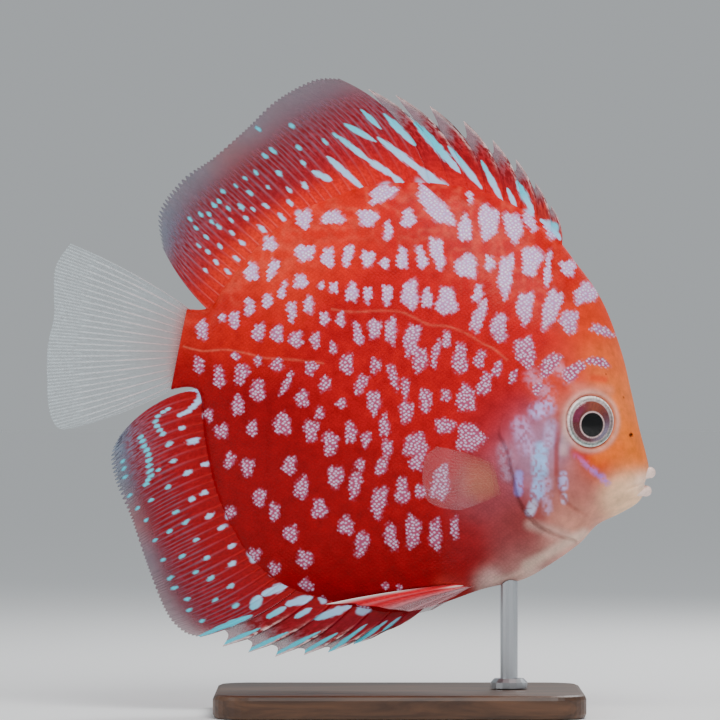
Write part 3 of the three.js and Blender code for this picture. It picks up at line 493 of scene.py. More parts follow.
# Spots of the flank: place, width and height in pixels of the frame, and lean in degrees
FLANK_SPOTS = [
    (383, 194, 32, 18, -25), (333, 218, 26, 15, 0), (304, 219, 17, 20, 0), (368, 218, 22, 19, 0),
    (388, 231, 10, 22, 0), (305, 253, 22, 18, 0), (328, 258, 14, 22, 0), (348, 256, 11, 26, 12),
    (368, 259, 15, 19, 0), (385, 264, 11, 13, 0), (270, 244, 15, 16, 0), (273, 269, 11, 24, 25),
    (252, 272, 15, 21, 0), (301, 282, 16, 15, 0), (283, 290, 7, 22, 15), (268, 301, 12, 17, 15),
    (250, 307, 11, 20, 0), (334, 288, 10, 13, 0), (322, 286, 8, 8, 0), (352, 293, 13, 20, 0),
    (368, 295, 10, 18, 0), (387, 295, 12, 22, 0), (309, 305, 11, 20, 0), (292, 310, 10, 19, 0),
    (435, 207, 20, 56, -42), (408, 219, 15, 21, 0), (465, 229, 15, 29, 0), (488, 222, 22, 38, 0),
    (513, 227, 20, 33, -14), (530, 221, 12, 26, -20), (551, 230, 14, 20, -20),
    (470, 198, 8, 14, -15), (437, 253, 15, 36, -14), (421, 258, 11, 26, -14), (402, 259, 12, 24, 0),
    (466, 267, 24, 26, 0), (489, 264, 11, 17, 0), (505, 276, 16, 48, 6), (531, 261, 22, 33, 14),
    (547, 270, 8, 42, 6), (568, 268, 18, 18, 0), (585, 294, 28, 22, -25), (410, 295, 18, 32, 0),
    (427, 299, 12, 21, 0), (446, 302, 22, 31, 0), (477, 294, 11, 21, 16), (478, 317, 13, 38, 20),
    (498, 328, 18, 32, 0), (524, 308, 18, 36, 4), (550, 309, 18, 46, 18), (568, 322, 20, 26, 0),
    (602, 331, 30, 10, 20), (597, 362, 28, 9, 15), (341, 320, 9, 17, 0), (358, 334, 10, 27, -14),
    (374.5, 329, 14, 22, 0), (391, 331, 13, 29, 0), (411, 340, 16, 36, 12), (419, 359, 17, 28, 0),
    (435, 354, 8, 32, 14), (446, 340, 9, 20, 0), (459, 359, 16, 34, 0), (478.5, 359, 12, 20, 16),
    (333, 348, 8, 14, 0), (347, 364, 14, 22, 0), (375, 365, 12, 16, 0), (393, 376, 9, 30, -14),
    (361, 384, 11, 24, 25), (341, 403, 10, 11, 0), (374, 402, 15, 26, 0), (405, 388, 8, 24, 0),
    (406, 411, 15, 24, 0), (425, 400, 13, 27, 0), (445, 395, 10, 13, 0), (465, 398, 20, 30, 0),
    (483, 384, 14, 26, 20), (496, 369, 9, 18, 20), (351, 432, 12, 24, 0), (366, 438.5, 10, 18, 20),
    (384, 425, 11, 24, 0), (387, 448, 11, 22, 0), (381, 466, 12, 18, 20), (415.5, 445, 26, 28, 0),
    (416, 462, 16, 16, 0), (444, 425, 22, 16, 0), (469, 437, 30, 30, 20), (258.5, 390, 16, 24, 0),
    (287, 383, 8, 30, 25), (302.7, 398, 14, 19, 0), (325, 384, 12, 16, 20), (283, 423.5, 19, 24, 0),
    (253, 428, 12, 17, 0), (311.4, 430, 15, 24, 0), (320, 413, 10, 14, 0), (330.7, 443, 16, 26, 0),
    (290, 465, 14, 21, 12), (302, 487, 15, 25, 14), (336, 476, 17, 24, 10), (355, 484, 13, 30, 10),
    (360, 464.5, 10, 14, 0), (260, 497, 14, 20, 14), (274.5, 511, 12, 19, 0), (320, 508, 16, 22, 0),
    (379, 501, 16, 34, 14), (402, 490, 14, 29, 0), (420, 490, 12, 15, 0), (440, 482, 20, 40, 8),
    (346, 525, 16, 20, 0), (291, 533, 16, 18, 0), (361.6, 543, 14, 28, 12), (391, 536, 13, 30, -12),
    (412.6, 530, 16, 36, 0), (435, 533, 14, 34, 0), (454, 527, 9, 24, 0), (305, 558.6, 17, 19, 12),
    (254.8, 554.6, 14, 14, 0), (274.7, 568, 13, 14, 0), (307, 584.5, 16, 13, 30),
    (323, 599, 8, 9, 0), (363, 609, 14, 12, 0), (385.5, 586, 6, 8, 0), (399, 587, 6, 8, 0),
    (202.4, 330, 12, 22, 0), (222, 318, 9, 9, 0), (235, 320, 11, 21, 0), (259, 332.5, 13, 21, 14),
    (277.6, 334, 13, 19, 0), (291.9, 318, 9, 11, 0), (324.6, 319, 10, 16, 0),
    (296.5, 339.5, 16, 17, 0), (316, 340.5, 11, 18, 0), (199.5, 365, 11, 19, 0),
    (219.6, 377, 12, 25, 0), (242, 374, 14, 24, 18), (259, 361, 9, 11, 0),
    (277.6, 364.6, 13, 14, 0), (311, 368, 14, 15, 18), (236, 356, 10, 10, 0),
    (238.5, 405, 13, 22, 0), (209, 415, 11, 14, 0), (222, 431, 15, 16, 0), (230, 460, 11, 17, 18),
    (248, 467, 14, 19, 0), (231, 512, 12, 13, 0), (524, 352, 22, 34, -12), (548, 365, 15, 32, 38),
    (572, 371, 14, 30, 52), (512, 376, 8, 16, 20), (536, 388, 9, 14, 30),
]


def to_mm(px, py):
    """A pixel of the frame as a place on the fish's middle plane."""
    return (px - ORIGIN_PIXEL_X) * PIXEL, (ORIGIN_PIXEL_Y - py) * PIXEL


def spot_mask(x, z, spots, grow=1.0, edge=0.22):
    """How far each place lies inside one of the spots, from 0 outside to 1 inside."""
    mask = np.zeros(x.shape)
    for px, py, width, tall, lean in spots:
        cx, cz = to_mm(px, py)
        half_wide, half_tall = width * PIXEL / 2 * grow, tall * PIXEL / 2 * grow
        reach = max(half_wide, half_tall) * 1.4
        around = np.where((np.abs(x - cx) < reach) & (np.abs(z - cz) < reach))[0]
        turn = math.radians(lean)
        dx, dz = x[around] - cx, z[around] - cz
        u = (dx * math.cos(turn) - dz * math.sin(turn)) / half_wide
        v = (dx * math.sin(turn) + dz * math.cos(turn)) / half_tall
        round_it = np.arctan2(v, u)
        wobble = 0.12 * np.sin(3 * round_it + px) + 0.08 * np.sin(5 * round_it + py)
        d = (np.abs(u) ** 2.5 + np.abs(v) ** 2.5) ** 0.4 + wobble
        mask[around] = np.maximum(mask[around], 1 - smooth(d, 1 - edge, 1 + edge))
    return mask


# A spot takes whole scales, so its edge is stepped and beaded
def flank_spots(x, z):
    """The mask of the spots on the flank, mostly by whole scales."""
    by_scale = spot_mask(*scale_middle(x, z), FLANK_SPOTS, 0.88, 0.12)
    return by_scale * (0.5 + 0.5 * spot_mask(x, z, FLANK_SPOTS, 0.95, 0.35))


# The left flank's spots are shifted a little, so that the two sides aren't mirror images
spots_right = flank_spots(near_x, near_z)
wander_x = near_x + 0.9 * np.sin(near_z / 7 + 1) + 0.5 * np.sin(near_x / 5)
wander_z = near_z + 0.9 * np.sin(near_x / 8 + 2) + 0.5 * np.sin(near_z / 4)
spots_left = flank_spots(wander_x, wander_z)
# The lateral line shows as a fine pale line in two runs, a high one in front and a lower one behind
LATERAL_LINES = [
    [(-5.2, 101), (0.2, 100.2), (8.2, 100.5), (13.2, 99.9), (19.2, 97.1), (24, 96.6), (28.6, 94.8),
     (32.8, 92.3), (35.4, 91), (39, 88)],
    [(-42, 91.7), (-37, 90.5), (-31.2, 90.8), (-25.5, 89.8), (-21.7, 88.8), (-15.5, 88.4),
     (-11.2, 88), (-6.5, 87.4)],
]
for points in LATERAL_LINES:
    d, s = from_line(near_x, near_z, points, 200)
    drawn = np.exp(-(d / 0.26) ** 2) * (s > 0.003) * (s < 0.997)
    paint(0.35 * drawn * (0.4 + 0.6 * speckle(near_x, near_z, 0.9, 5)), "#FF8A6A")

skin_points = both_sides(skin)
far_half = np.concatenate([np.zeros((columns, rows)), np.ones((columns, rows - 2))], axis=1).ravel()
skin_points[:, 1] *= np.where(far_half > 0, -1, 1)
ring = 2 * rows - 2
number = np.arange(columns * ring).reshape(columns, ring)
# Back, belly and middle meet at the lips, so there the lower rows take the upper rows' points
last = number[-1]
k = np.arange(SKIN_ROWS)
last[2 * SKIN_ROWS - k] = last[k]
last[2 * SKIN_ROWS + k] = last[(4 * SKIN_ROWS - k) % ring]
left, right = number[:-1], number[1:]
skin_faces = np.stack(
    [left, np.roll(left, -1, 1), np.roll(right, -1, 1), right], axis=2
).reshape(-1, 4)
cap = number[0]
k = np.arange(1, 2 * SKIN_ROWS - 1)
cap_faces = np.stack([cap[k], cap[(ring - k) % ring], cap[ring - k - 1], cap[k + 1]], axis=1)

# Each lip is a soft roll that thins towards the corner of the mouth
LIP_STEPS = 28
LIP_PLACES = 81


def ring_faces(number):
    """Faces between rings of numbered points, each ring joined to the next."""
    a, b = number[:-1], number[1:]
    return np.stack([a, b, np.roll(b, -1, 1), np.roll(a, -1, 1)], axis=2).reshape(-1, 4)


def roll(points, radius):
    """Points and faces of a soft roll along a line, thinner at both ends."""
    path = line_through(points)(np.linspace(0, 1, LIP_PLACES))
    along = np.gradient(path, axis=0)
    along /= np.linalg.norm(along, axis=1)[:, None]
    side = np.cross(along, np.array([0, 0, 1.0]))
    side /= np.linalg.norm(side, axis=1)[:, None]
    up = np.cross(side, along)
    place = np.abs(np.linspace(-1, 1, LIP_PLACES))
    size = radius * (1 - 0.5 * place) * np.sqrt(np.clip(1 - place ** 12, 1e-4, 1))
    angle = np.linspace(0, 2 * math.pi, LIP_STEPS, endpoint=False)
    rings = path[:, None] + size[:, None, None] * (
        side[:, None] * np.cos(angle)[:, None] + up[:, None] * np.sin(angle)[:, None])
    number = np.arange(LIP_PLACES * LIP_STEPS).reshape(LIP_PLACES, LIP_STEPS)
    faces = ring_faces(number)
    k = np.arange(LIP_STEPS // 2 - 1)
    caps = [np.stack([end[k], end[k + 1], end[LIP_STEPS - k - 2], end[LIP_STEPS - k - 1]], axis=1)
            for end in (number[0], number[-1][::-1])]
    return rings.reshape(-1, 3), np.concatenate([faces] + caps)


skin_values = {
    "ground": both_sides(ground),
    "spots": both_sides(spots_right, spots_left),
    "scale_place": np.concatenate([both_sides(scale_one), both_sides(scale_other)], axis=1),
    "scaly": both_sides(scaly),
    "dull": both_sides(smooth(-near_z, -112, -86)),
}
skin_values["scale_place"] = np.pad(skin_values["scale_place"], ((0, 0), (0, 1)))
all_points, all_faces = [skin_points], [skin_faces, cap_faces]
for points in (UPPER_LIP, LOWER_LIP):
    mirrored = [(x, -y, z) for x, y, z in points]
    lip_points, lip_faces = roll(mirrored + points[-2::-1], LIP_RADIUS)
    all_faces.append(lip_faces + sum(len(p) for p in all_points))
    all_points.append(lip_points)
    for key, values in skin_values.items():
        rest = np.zeros((len(lip_points), values.shape[1]))
        if key == "ground":
            rest += linear("#F6D6CA")
        skin_values[key] = np.concatenate([values, rest])
skin_piece = mesh_object("skin", np.concatenate(all_points), np.concatenate(all_faces), skin_values)

# Skin as it is in life: a clear wet film over pigment, so soft highlights and deep colour
skin_material, tree, shader = new_material(
    "wet_scaled_skin", roughness=0.5, ior=1.4, coat_weight=0.06, coat_roughness=0.15,
    specular_ior_level=0.14,
)
# Each scale is near a millimetre wide, so one cell of this net is one scale
net, cells = (
    add(tree, "ShaderNodeTexVoronoi",
        {"Vector": attribute(tree, "scale_place", "Vector"), "Scale": 1.0, "Randomness": 0.6},
        feature=feature, voronoi_dimensions="2D")
    for feature in ("DISTANCE_TO_EDGE", "F1")
)
from_edge, from_middle = net.outputs["Distance"], cells.outputs["Distance"]
scaly_in = attribute(tree, "scaly")
net_line = span(tree, from_edge, 0.02, 0.3, 0.0, 1.0)
cell_tone = add(tree, "ShaderNodeSeparateColor", {0: cells.outputs["Color"]}).outputs[0]
spot_tone = blend(tree, cell_tone, "#D6D4FF", "#FCFEFF")
# Each scale of a spot is pale blue-white, brightest at its middle as a painted glint, and mauve
# towards its edge
painted_glint = span(tree, from_middle, 0.16, 0.46, 1.0, 0.0)
spot_net = blend(tree, net_line, "#DA9CCC", blend(tree, painted_glint, "#CDB2EC", spot_tone))
# From the back down to the middle of the flank the spots turn duller and pinker, and their
# painted glints fainter
dull_tone = blend(tree, painted_glint, "#A42848", "#D4BCDC")
dull_part = combine(tree, "MULTIPLY", attribute(tree, "dull"), 0.85)
spot_colour = blend(tree, dull_part, spot_net, dull_tone)
# Mottling of the pigment under the scales, about 3 mm across with finer detail in it
mottle = noise(tree, add(tree, "ShaderNodeTexCoord").outputs["Object"], 330.0, 6.0, 0.65)
mottle_tone = span(tree, mottle, 0.3, 0.7, 0.8, 1.2)
net_dark = combine(tree, "MULTIPLY", span(tree, from_edge, 0.0, 0.25, 0.12, 0.0), scaly_in)
net_shade = combine(tree, "SUBTRACT", 1.0, net_dark)
ground_net = scaled(tree, scaled(tree, attribute(tree, "ground", "Vector"), mottle_tone), net_shade)
skin_colour = blend(tree, attribute(tree, "spots"), ground_net, spot_colour)
tree.links.new(skin_colour, shader.inputs["Base Color"])
emboss(tree, shader, combine(tree, "MULTIPLY", net_line, scaly_in), 0.35, 0.00012)
tree.links.new(span(tree, mottle, 0.3, 0.7, 0.42, 0.6), shader.inputs["Roughness"])
skin_piece.data.materials.append(skin_material)
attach(skin_piece, "root")
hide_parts("head", "torso", "tail_stalk")

# Eyes
# Each eye is a ball with a clear cornea over a flat iris. The pupil is black with a thin pale
# ring, the iris maroon with a silver crescent, and a bright rim runs round it. The ball sits
# sunk in its socket and turned a little forward.
PUPIL_RADIUS = 2.95
PUPIL_SHIFT_X = 0.2
PUPIL_SHIFT_Z = -0.8
EYE_BACK = 5.4
IRIS_RADIUS = 5.4
IRIS_HEIGHT = 0.8
IRIS_DOME = 0.5
CORNEA_RADIUS = 5.9
CORNEA_FOOT = 0.95
CORNEA_RISE = 1.6
EYE_STEPS = 96


def lathe(profile, steps):
    """Points and faces of a turned form from radius and height pairs."""
    angle = np.linspace(0, 2 * math.pi, steps, endpoint=False)
    rings = [np.stack([r * np.cos(angle), r * np.sin(angle), np.full(steps, h)], axis=1)
             for r, h in profile]
    number = np.arange(len(profile) * steps).reshape(len(profile), steps)
    return np.concatenate(rings), ring_faces(number)[:, ::-1]


def eye_place(points, side):
    """A form whose axis is +Z, set in the head with that axis out of the eye on one side."""
    axis = np.array([math.sin(EYE_TURN), side * math.cos(EYE_TURN), 0])
    up = np.array([0, 0, 1.0])
    across = np.cross(up, axis)
    centre = np.array([EYE_X, side * eye_depth, EYE_Z])
    return centre + points[:, :1] * across + points[:, 1:2] * up + points[:, 2:] * axis


# Radius and height from the back of the ball over its rim to the middle of the flat iris
ball_profile = [(1e-3, -EYE_BACK)]
ball_profile += [(EYE_RADIUS * math.sin(a), -EYE_BACK * math.cos(a))
                 for a in np.linspace(0.08, math.pi / 2, 16)]
ball_profile += [(6.42, 0.25), (6.3, 0.6), (6.1, 0.86), (5.85, 0.98), (5.6, 0.95)]
ball_profile += [(IRIS_RADIUS, IRIS_HEIGHT)]
ball_profile += [(r, IRIS_HEIGHT + IRIS_DOME * (1 - (r / IRIS_RADIUS) ** 2))
                 for r in np.linspace(5.2, 0.02, 60)]
cornea_profile = [(6.0, 0.75), (CORNEA_RADIUS, CORNEA_FOOT)]
cornea_profile += [(CORNEA_RADIUS * math.cos(a), CORNEA_FOOT + CORNEA_RISE * math.sin(a))
                   for a in np.linspace(0.08, 1.56, 28)]

# The iris has a soft metal sheen with fine streaks, and the rim round it is pale and smooth
eye_material, tree, shader = new_material(
    "iris_and_sclera", roughness=0.45, ior=1.376, specular_ior_level=0.2,
)
streaks = noise(tree, attribute(tree, "iris_place", "Vector"), 3.0, 5.0, 0.7)
streak_tone = span(tree, streaks, 0.3, 0.72, 0.55, 1.5)
iris_tone = scaled(tree, attribute(tree, "iris", "Vector"), streak_tone)
tree.links.new(iris_tone, shader.inputs["Base Color"])

# The cornea is clear and polished: it shows only a sharp highlight, more so at its edge
cornea_material, tree, shader = new_material("clear_cornea")
tree.nodes.remove(shader)
see_through = add(tree, "ShaderNodeBsdfTransparent")
glossy = add(tree, "ShaderNodeBsdfGlossy", {"Roughness": 0.03})
rim_light = add(tree, "ShaderNodeFresnel", {"IOR": 1.376})
cornea_mix = add(tree, "ShaderNodeMixShader", {
    0: rim_light.outputs[0], 1: see_through.outputs[0], 2: glossy.outputs[0],
})
tree.links.new(cornea_mix.outputs[0], tree.nodes["Material Output"].inputs["Surface"])

for side, word in ((-1, "right"), (1, "left")):
    points, faces = lathe(ball_profile, EYE_STEPS)
    flat_x, flat_z = -side * points[:, 0], points[:, 1]
    radius = np.hypot(flat_x, flat_z)
    turn = np.arctan2(flat_z, flat_x)
    pupil = np.hypot(flat_x - PUPIL_SHIFT_X, flat_z - PUPIL_SHIFT_Z)
    colour = np.tile(linear("#6E2A30"), (len(points), 1))

    def lay(mask, hex_colour):
        """Lays a colour over the eye where the mask says."""
        colour[:] += (np.array(linear(hex_colour)) - colour) * np.clip(mask, 0, 1)[:, None]

    lay(0.7 * np.exp(-((turn - 2.6) / 0.8) ** 2) * (radius > 3.3), "#8A2F55")
    lay(0.6 * np.exp(-((turn - 1.3) / 0.7) ** 2), "#A85A3C")
    lay(0.9 * np.exp(-((turn + 0.75) / 0.7) ** 2) * smooth(radius, 2.8, 3.8), "#9C93AE")
    lay(0.6 * np.exp(-((turn + 1.9) / 0.35) ** 2) * smooth(radius, 3.6, 4.4), "#6A1420")
    lay(smooth(radius, 4.9, 5.25), "#E4CCCA")
    lay(smooth(radius, 5.3, 5.6) * smooth(flat_z, -2, 3), "#FFFBF6")
    lay(smooth(radius, 5.3, 5.6) * smooth(-flat_z, 0, 4), "#D2E8E2")
    lay(smooth(radius, 6.2, 6.45), "#D9A79C")
    lay(1 - smooth(pupil, 3.25, 3.5), "#F2D3D0")
    lay(1 - smooth(pupil, PUPIL_RADIUS, PUPIL_RADIUS + 0.12), "#030304")
    front = points[:, 2] > 0
    colour[~front] = linear("#E4C3B8")
    eye = mesh_object(f"eye_ball_{word}", eye_place(points, side), faces, {
        "iris": colour,
        "iris_place": np.stack([radius * 0.4, turn * 3, np.zeros(len(points))], axis=1),
    })
    eye.data.materials.append(eye_material)
    points, faces = lathe(cornea_profile, EYE_STEPS)
    cornea = mesh_object(f"cornea_{word}", eye_place(points, side), faces, {})
    cornea.data.materials.append(cornea_material)
    for piece in (eye, cornea):
        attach(piece, "root")
        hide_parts(f"eye_{word}")

# Fins along the back and belly
# The dorsal and anal fins are thin webs on a row of free spines in front and many soft, split
# rays behind. Near the body they are as red as the flank; towards the margin they clear. They
# are the body's own skin stretched over the rays, so they run 2 mm into it.
FIN_ROOT = 2
MARGIN_HALF = 0.06
FOOT = (0.6, 0.16)
DORSAL = {
    "front_x": 53.2, "split_x": 20.5, "rear_x": -34.6, "rays": 31, "front": 1, "sway": 1.3,
    "tips": [(50, 126.9), (46.1, 132.6), (41.2, 138.5), (35.4, 143.3), (28.1, 148.1), (19.6, 151.8),
             (11.1, 154.5), (4.3, 156)],
    "margin": [(-3.2, 158.6), (-9.5, 158.2), (-18.7, 153.2), (-26.2, 146.1), (-34.2, 139.1),
               (-42.2, 133.5), (-48, 125.4), (-47.2, 116.6)],
    "notch": (0.5, 0.62), "bulge": (0.12, 0.13, 0.02, -0.05), "clear_from": 0.5,
}
ANAL = {
    "front_x": 20, "split_x": -13, "rear_x": -37.7, "rays": 29, "front": -1, "sway": -1.2,
    "tips": [(7.5, 20.1), (0.5, 17.1), (-5.8, 15.1), (-11.8, 14.4), (-19, 14), (-25.8, 15),
             (-32.2, 16.5)],
    "margin": [(-37.8, 18.9), (-42, 20.3), (-46.2, 25), (-50.5, 35.5), (-54.9, 48.3), (-58.9, 57.8),
               (-60, 64.5), (-58, 69)],
    "notch": (0.74, 0.78), "bulge": (0.08, 0.06, -0.02, -0.1), "clear_from": 0.68,
}


def bent(root, tip, bulge, front, t):
    """Rays as bent lines from root to tip, sampled at shares t of their length."""
    chord = tip - root
    sideways = np.stack([chord[..., 1], -chord[..., 0]], axis=-1) * (2 * bulge * front)[..., None]
    knee = (root + tip) / 2 + sideways
    t = t[:, None]
    return root[:, None] * (1 - t) ** 2 + knee[:, None] * 2 * t * (1 - t) + tip[:, None] * t ** 2


def share_at(line, x):
    """The share of an outline's length at which it passes x."""
    table = np.linspace(0, 1, 2001)
    return np.interp(x, line(table)[:, 0], table)


def rooted(line, share):
    """Places on the body's outline, sunk towards the middle of the flank."""
    edge = line(share)
    inward = middle_line(share) - edge
    return edge + inward / np.linalg.norm(inward, axis=1)[:, None] * FIN_ROOT


def web(name, grid, half, sway, attributes):
    """A closed thin sheet on a grid of side-view places, from its half thickness and swing."""
    n, m = grid.shape[:2]
    near = np.stack([grid[..., 0], sway - half, grid[..., 1]], axis=2)
    far = np.stack([grid[..., 0], sway + half, grid[..., 1]], axis=2)
    loops = np.concatenate([near, far[:, ::-1]], axis=1)
    ring = 2 * m
    number = np.arange(n * ring).reshape(n, ring)
    k = np.arange(m - 1)
    first, final = number[0], number[-1]
    start = np.stack([first[k], first[k + 1], first[ring - k - 2], first[ring - k - 1]], axis=1)
    end = np.stack([final[k], final[ring - k - 1], final[ring - k - 2], final[k + 1]], axis=1)
    both = {}
    for key, values in attributes.items():
        values = values.reshape(n, m, -1)
        both[key] = np.concatenate([values, values[:, ::-1]], axis=1).reshape(n * ring, -1)
    faces = np.concatenate([ring_faces(number), start, end])
    return mesh_object(name, loops.reshape(-1, 3), faces, both)


def web_half(crest, t, root, margin, foot):
    """Half thickness of a web: at the root and the margin, each with its rise on a ray, and of the
    thicker foot where it leaves the body, with how far that reaches."""
    half = (root[0] + root[1] * crest) * (1 - t) + (margin[0] + margin[1] * crest) * t
    half = half + foot[0] * np.exp(-t / foot[1])
    half[:, -1] = MARGIN_HALF
    return half


def ridges(phase, t, split_from=0.35):
    """How near a place is to the crest of a ray, which splits in two and in four on its way out."""
    def crests(times, sharp):
        return smooth(1 - 2 * np.abs(times * phase - np.round(times * phase)), 1 - sharp, 1)

    first = crests(1, 0.35) * (1 - smooth(t, split_from + 0.15, split_from + 0.3))
    second = 0.8 * crests(2, 0.5) * smooth(t, split_from, split_from + 0.2)
    second *= 1 - smooth(t, 0.75, 0.9)
    third = 0.6 * crests(4, 0.7) * smooth(t, 0.68, 0.85)
    return np.maximum(np.maximum(first, second), third)


def swing(grid, t, amount):
    """The gentle sideways swing of a fin, which grows away from the body."""
    return amount * t ** 2 * np.sin((grid[..., 0] - 20) / 22)


def soft_part(line, fin, columns_per_ray=10, rows=90):
    """Grid, ray phase and reach of a fin's soft part."""
    count = (fin["rays"] - 1) * columns_per_ray
    share = np.linspace(0, 1, count + 1)
    ends = share_at(line, fin["split_x"]), share_at(line, fin["rear_x"])
    root = rooted(line, ends[0] + (ends[1] - ends[0]) * share)
    tip = line_through(fin["margin"])(share)
    bulge = np.interp(share * 2, [0, 1, 2], fin["bulge"][1:])
    t = np.linspace(0, 1, rows + 1)
    phase = share * (fin["rays"] - 1) + 0.22 * np.sin(31 * share) * np.sin(math.pi * share)
    # Between two rays the margin is drawn in, which leaves their tips free, more so to the rear
    drawn_in = 0.02 + 0.05 * smooth(share, 0.5, 0.9)
    fringe = 1 - drawn_in * (1 - np.abs(np.cos(math.pi * 2 * phase)))
    grid = bent(root, tip, bulge, float(fin["front"]) * np.ones(1), t)
    grid = root[:, None] + (grid - root[:, None]) * (1 - (1 - fringe)[:, None] * t ** 4)[..., None]
    return grid, np.repeat(phase[:, None], rows + 1, 1), np.repeat(t[None], count + 1, 0)


def spiny_part(line, fin, columns_per_lobe=22, rows=90):
    """Grid, spine phase and reach of a fin's spiny part, one lobe of web behind each spine."""
    lobes = len(fin["tips"])
    ends = share_at(line, fin["front_x"]), share_at(line, fin["split_x"])
    order = np.arange(lobes + 1) / lobes
    root = rooted(line, ends[0] + (ends[1] - ends[0]) * order)
    tip = np.array(fin["tips"] + fin["margin"][:1], float)
    bulge = fin["bulge"][0] + (fin["bulge"][1] - fin["bulge"][0]) * order
    t = np.linspace(0, 1, rows + 1)
    front = float(fin["front"])
    spines = bent(root, tip, bulge, front * np.ones(1), t)
    depth = fin["notch"][0] + (fin["notch"][1] - fin["notch"][0]) * order
    grids, phases = [], []
    for i in range(lobes):
        after = slice(i + 1, i + 2)
        low = bent(root[after], tip[after], bulge[after], front * np.ones(1), t * depth[i + 1])[0]
        run = np.gradient(low, axis=0)
        run /= np.linalg.norm(run, axis=1)[:, None]
        gap = 0.3 if i < lobes - 1 else 0.03
        low = low + np.stack([run[:, 1], -run[:, 0]], axis=1) * (gap * front)
        for w in np.linspace(0, 1, columns_per_lobe):
            hollow = 1 - 0.05 * math.sin(math.pi * w) * smooth(t, 0.6, 1)
            grids.append(root[i] + (spines[i] * (1 - w) + low * w - root[i]) * hollow[:, None])
            phases.append(i + 0.97 * w)
        if i < lobes - 1:
            grids.append((low + spines[i + 1]) / 2)
            phases.append(i + 0.985)
    phase = np.repeat(np.array(phases)[:, None], rows + 1, 1)
    return np.array(grids), phase, np.repeat(t[None], len(grids), 0)


# Colours of the webs: place and reach, with the place in pixels of the frame
DORSAL_COLOURS = [
    (500, 195, 9, "#B00410"), (475, 150, 7, "#A40416"), (440, 112, 4, "#8C4450"),
    (520, 165, 3, "#8C3C48"), (400, 150, 8, "#AC0418"), (352, 112, 7, "#8A2434"),
    (330, 88, 4, "#5E5060"), (296, 108, 6, "#54586A"), (275, 145, 8, "#7C2430"),
    (240, 175, 8, "#801C28"), (200, 190, 6, "#5A4454"), (168, 212, 5, "#486278"),
    (235, 235, 9, "#B80A0E"), (216, 288, 6, "#C4140C"), (188, 268, 4, "#8A2C34"),
    (166, 242, 4, "#4C6880"), (320, 170, 9, "#AC0818"), (250, 122, 4, "#466478"),
    (192, 172, 4, "#48687E"), (380, 180, 8, "#C00810"), (545, 228, 5, "#BC3024"),
    (384, 96, 4, "#74586A"),
]
ANAL_COLOURS = [
    (430, 610, 4, "#A41C2C"), (380, 618, 6, "#A00420"), (330, 640, 6, "#900C24"),
    (270, 642, 6, "#90081E"), (230, 618, 7, "#98081C"), (182, 622, 5, "#64384C"),
    (142, 562, 4, "#505C74"), (118, 482, 4, "#486C82"), (124, 440, 4, "#54809A"),
    (165, 432, 6, "#9C0C18"), (190, 450, 8, "#A4000E"), (212, 520, 9, "#A0000C"),
    (180, 540, 7, "#8C0814"), (158, 500, 5, "#7C1220"), (152, 585, 5, "#60283A"),
    (245, 600, 8, "#98000C"), (300, 610, 8, "#9C0010"),
]
# Turquoise dots: place and size in pixels of the frame
DORSAL_DOTS = [
    (292, 126, 6), (258, 129, 6), (273, 151, 7), (299, 148, 6), (265, 156, 6), (256, 173, 6),
    (279, 173, 7), (303, 163, 7), (335, 135, 6), (325, 142, 6), (305, 186, 8), (250, 193, 7),
    (223, 191.5, 6), (241, 207, 7), (219, 201, 6), (266, 206, 7), (281.5, 217, 8), (246, 218, 6),
    (231, 220, 6), (262, 229, 8), (242.5, 243, 7), (214, 205, 6), (201, 215, 6), (219, 227, 6),
    (206, 237, 6), (220, 246, 6), (228, 272, 7), (228, 291, 7), (212, 222, 5), (232, 233, 6),
    (208, 252, 6), (216, 262, 6), (236, 258, 7), (196, 228, 5), (190, 219, 5), (199, 246, 5),
    (205, 270, 5), (245, 178, 5), (236, 186, 5), (268, 187, 5), (289, 190, 6), (290, 203, 7),
    (253, 209, 5), (228, 208, 5), (209, 214, 5),
]
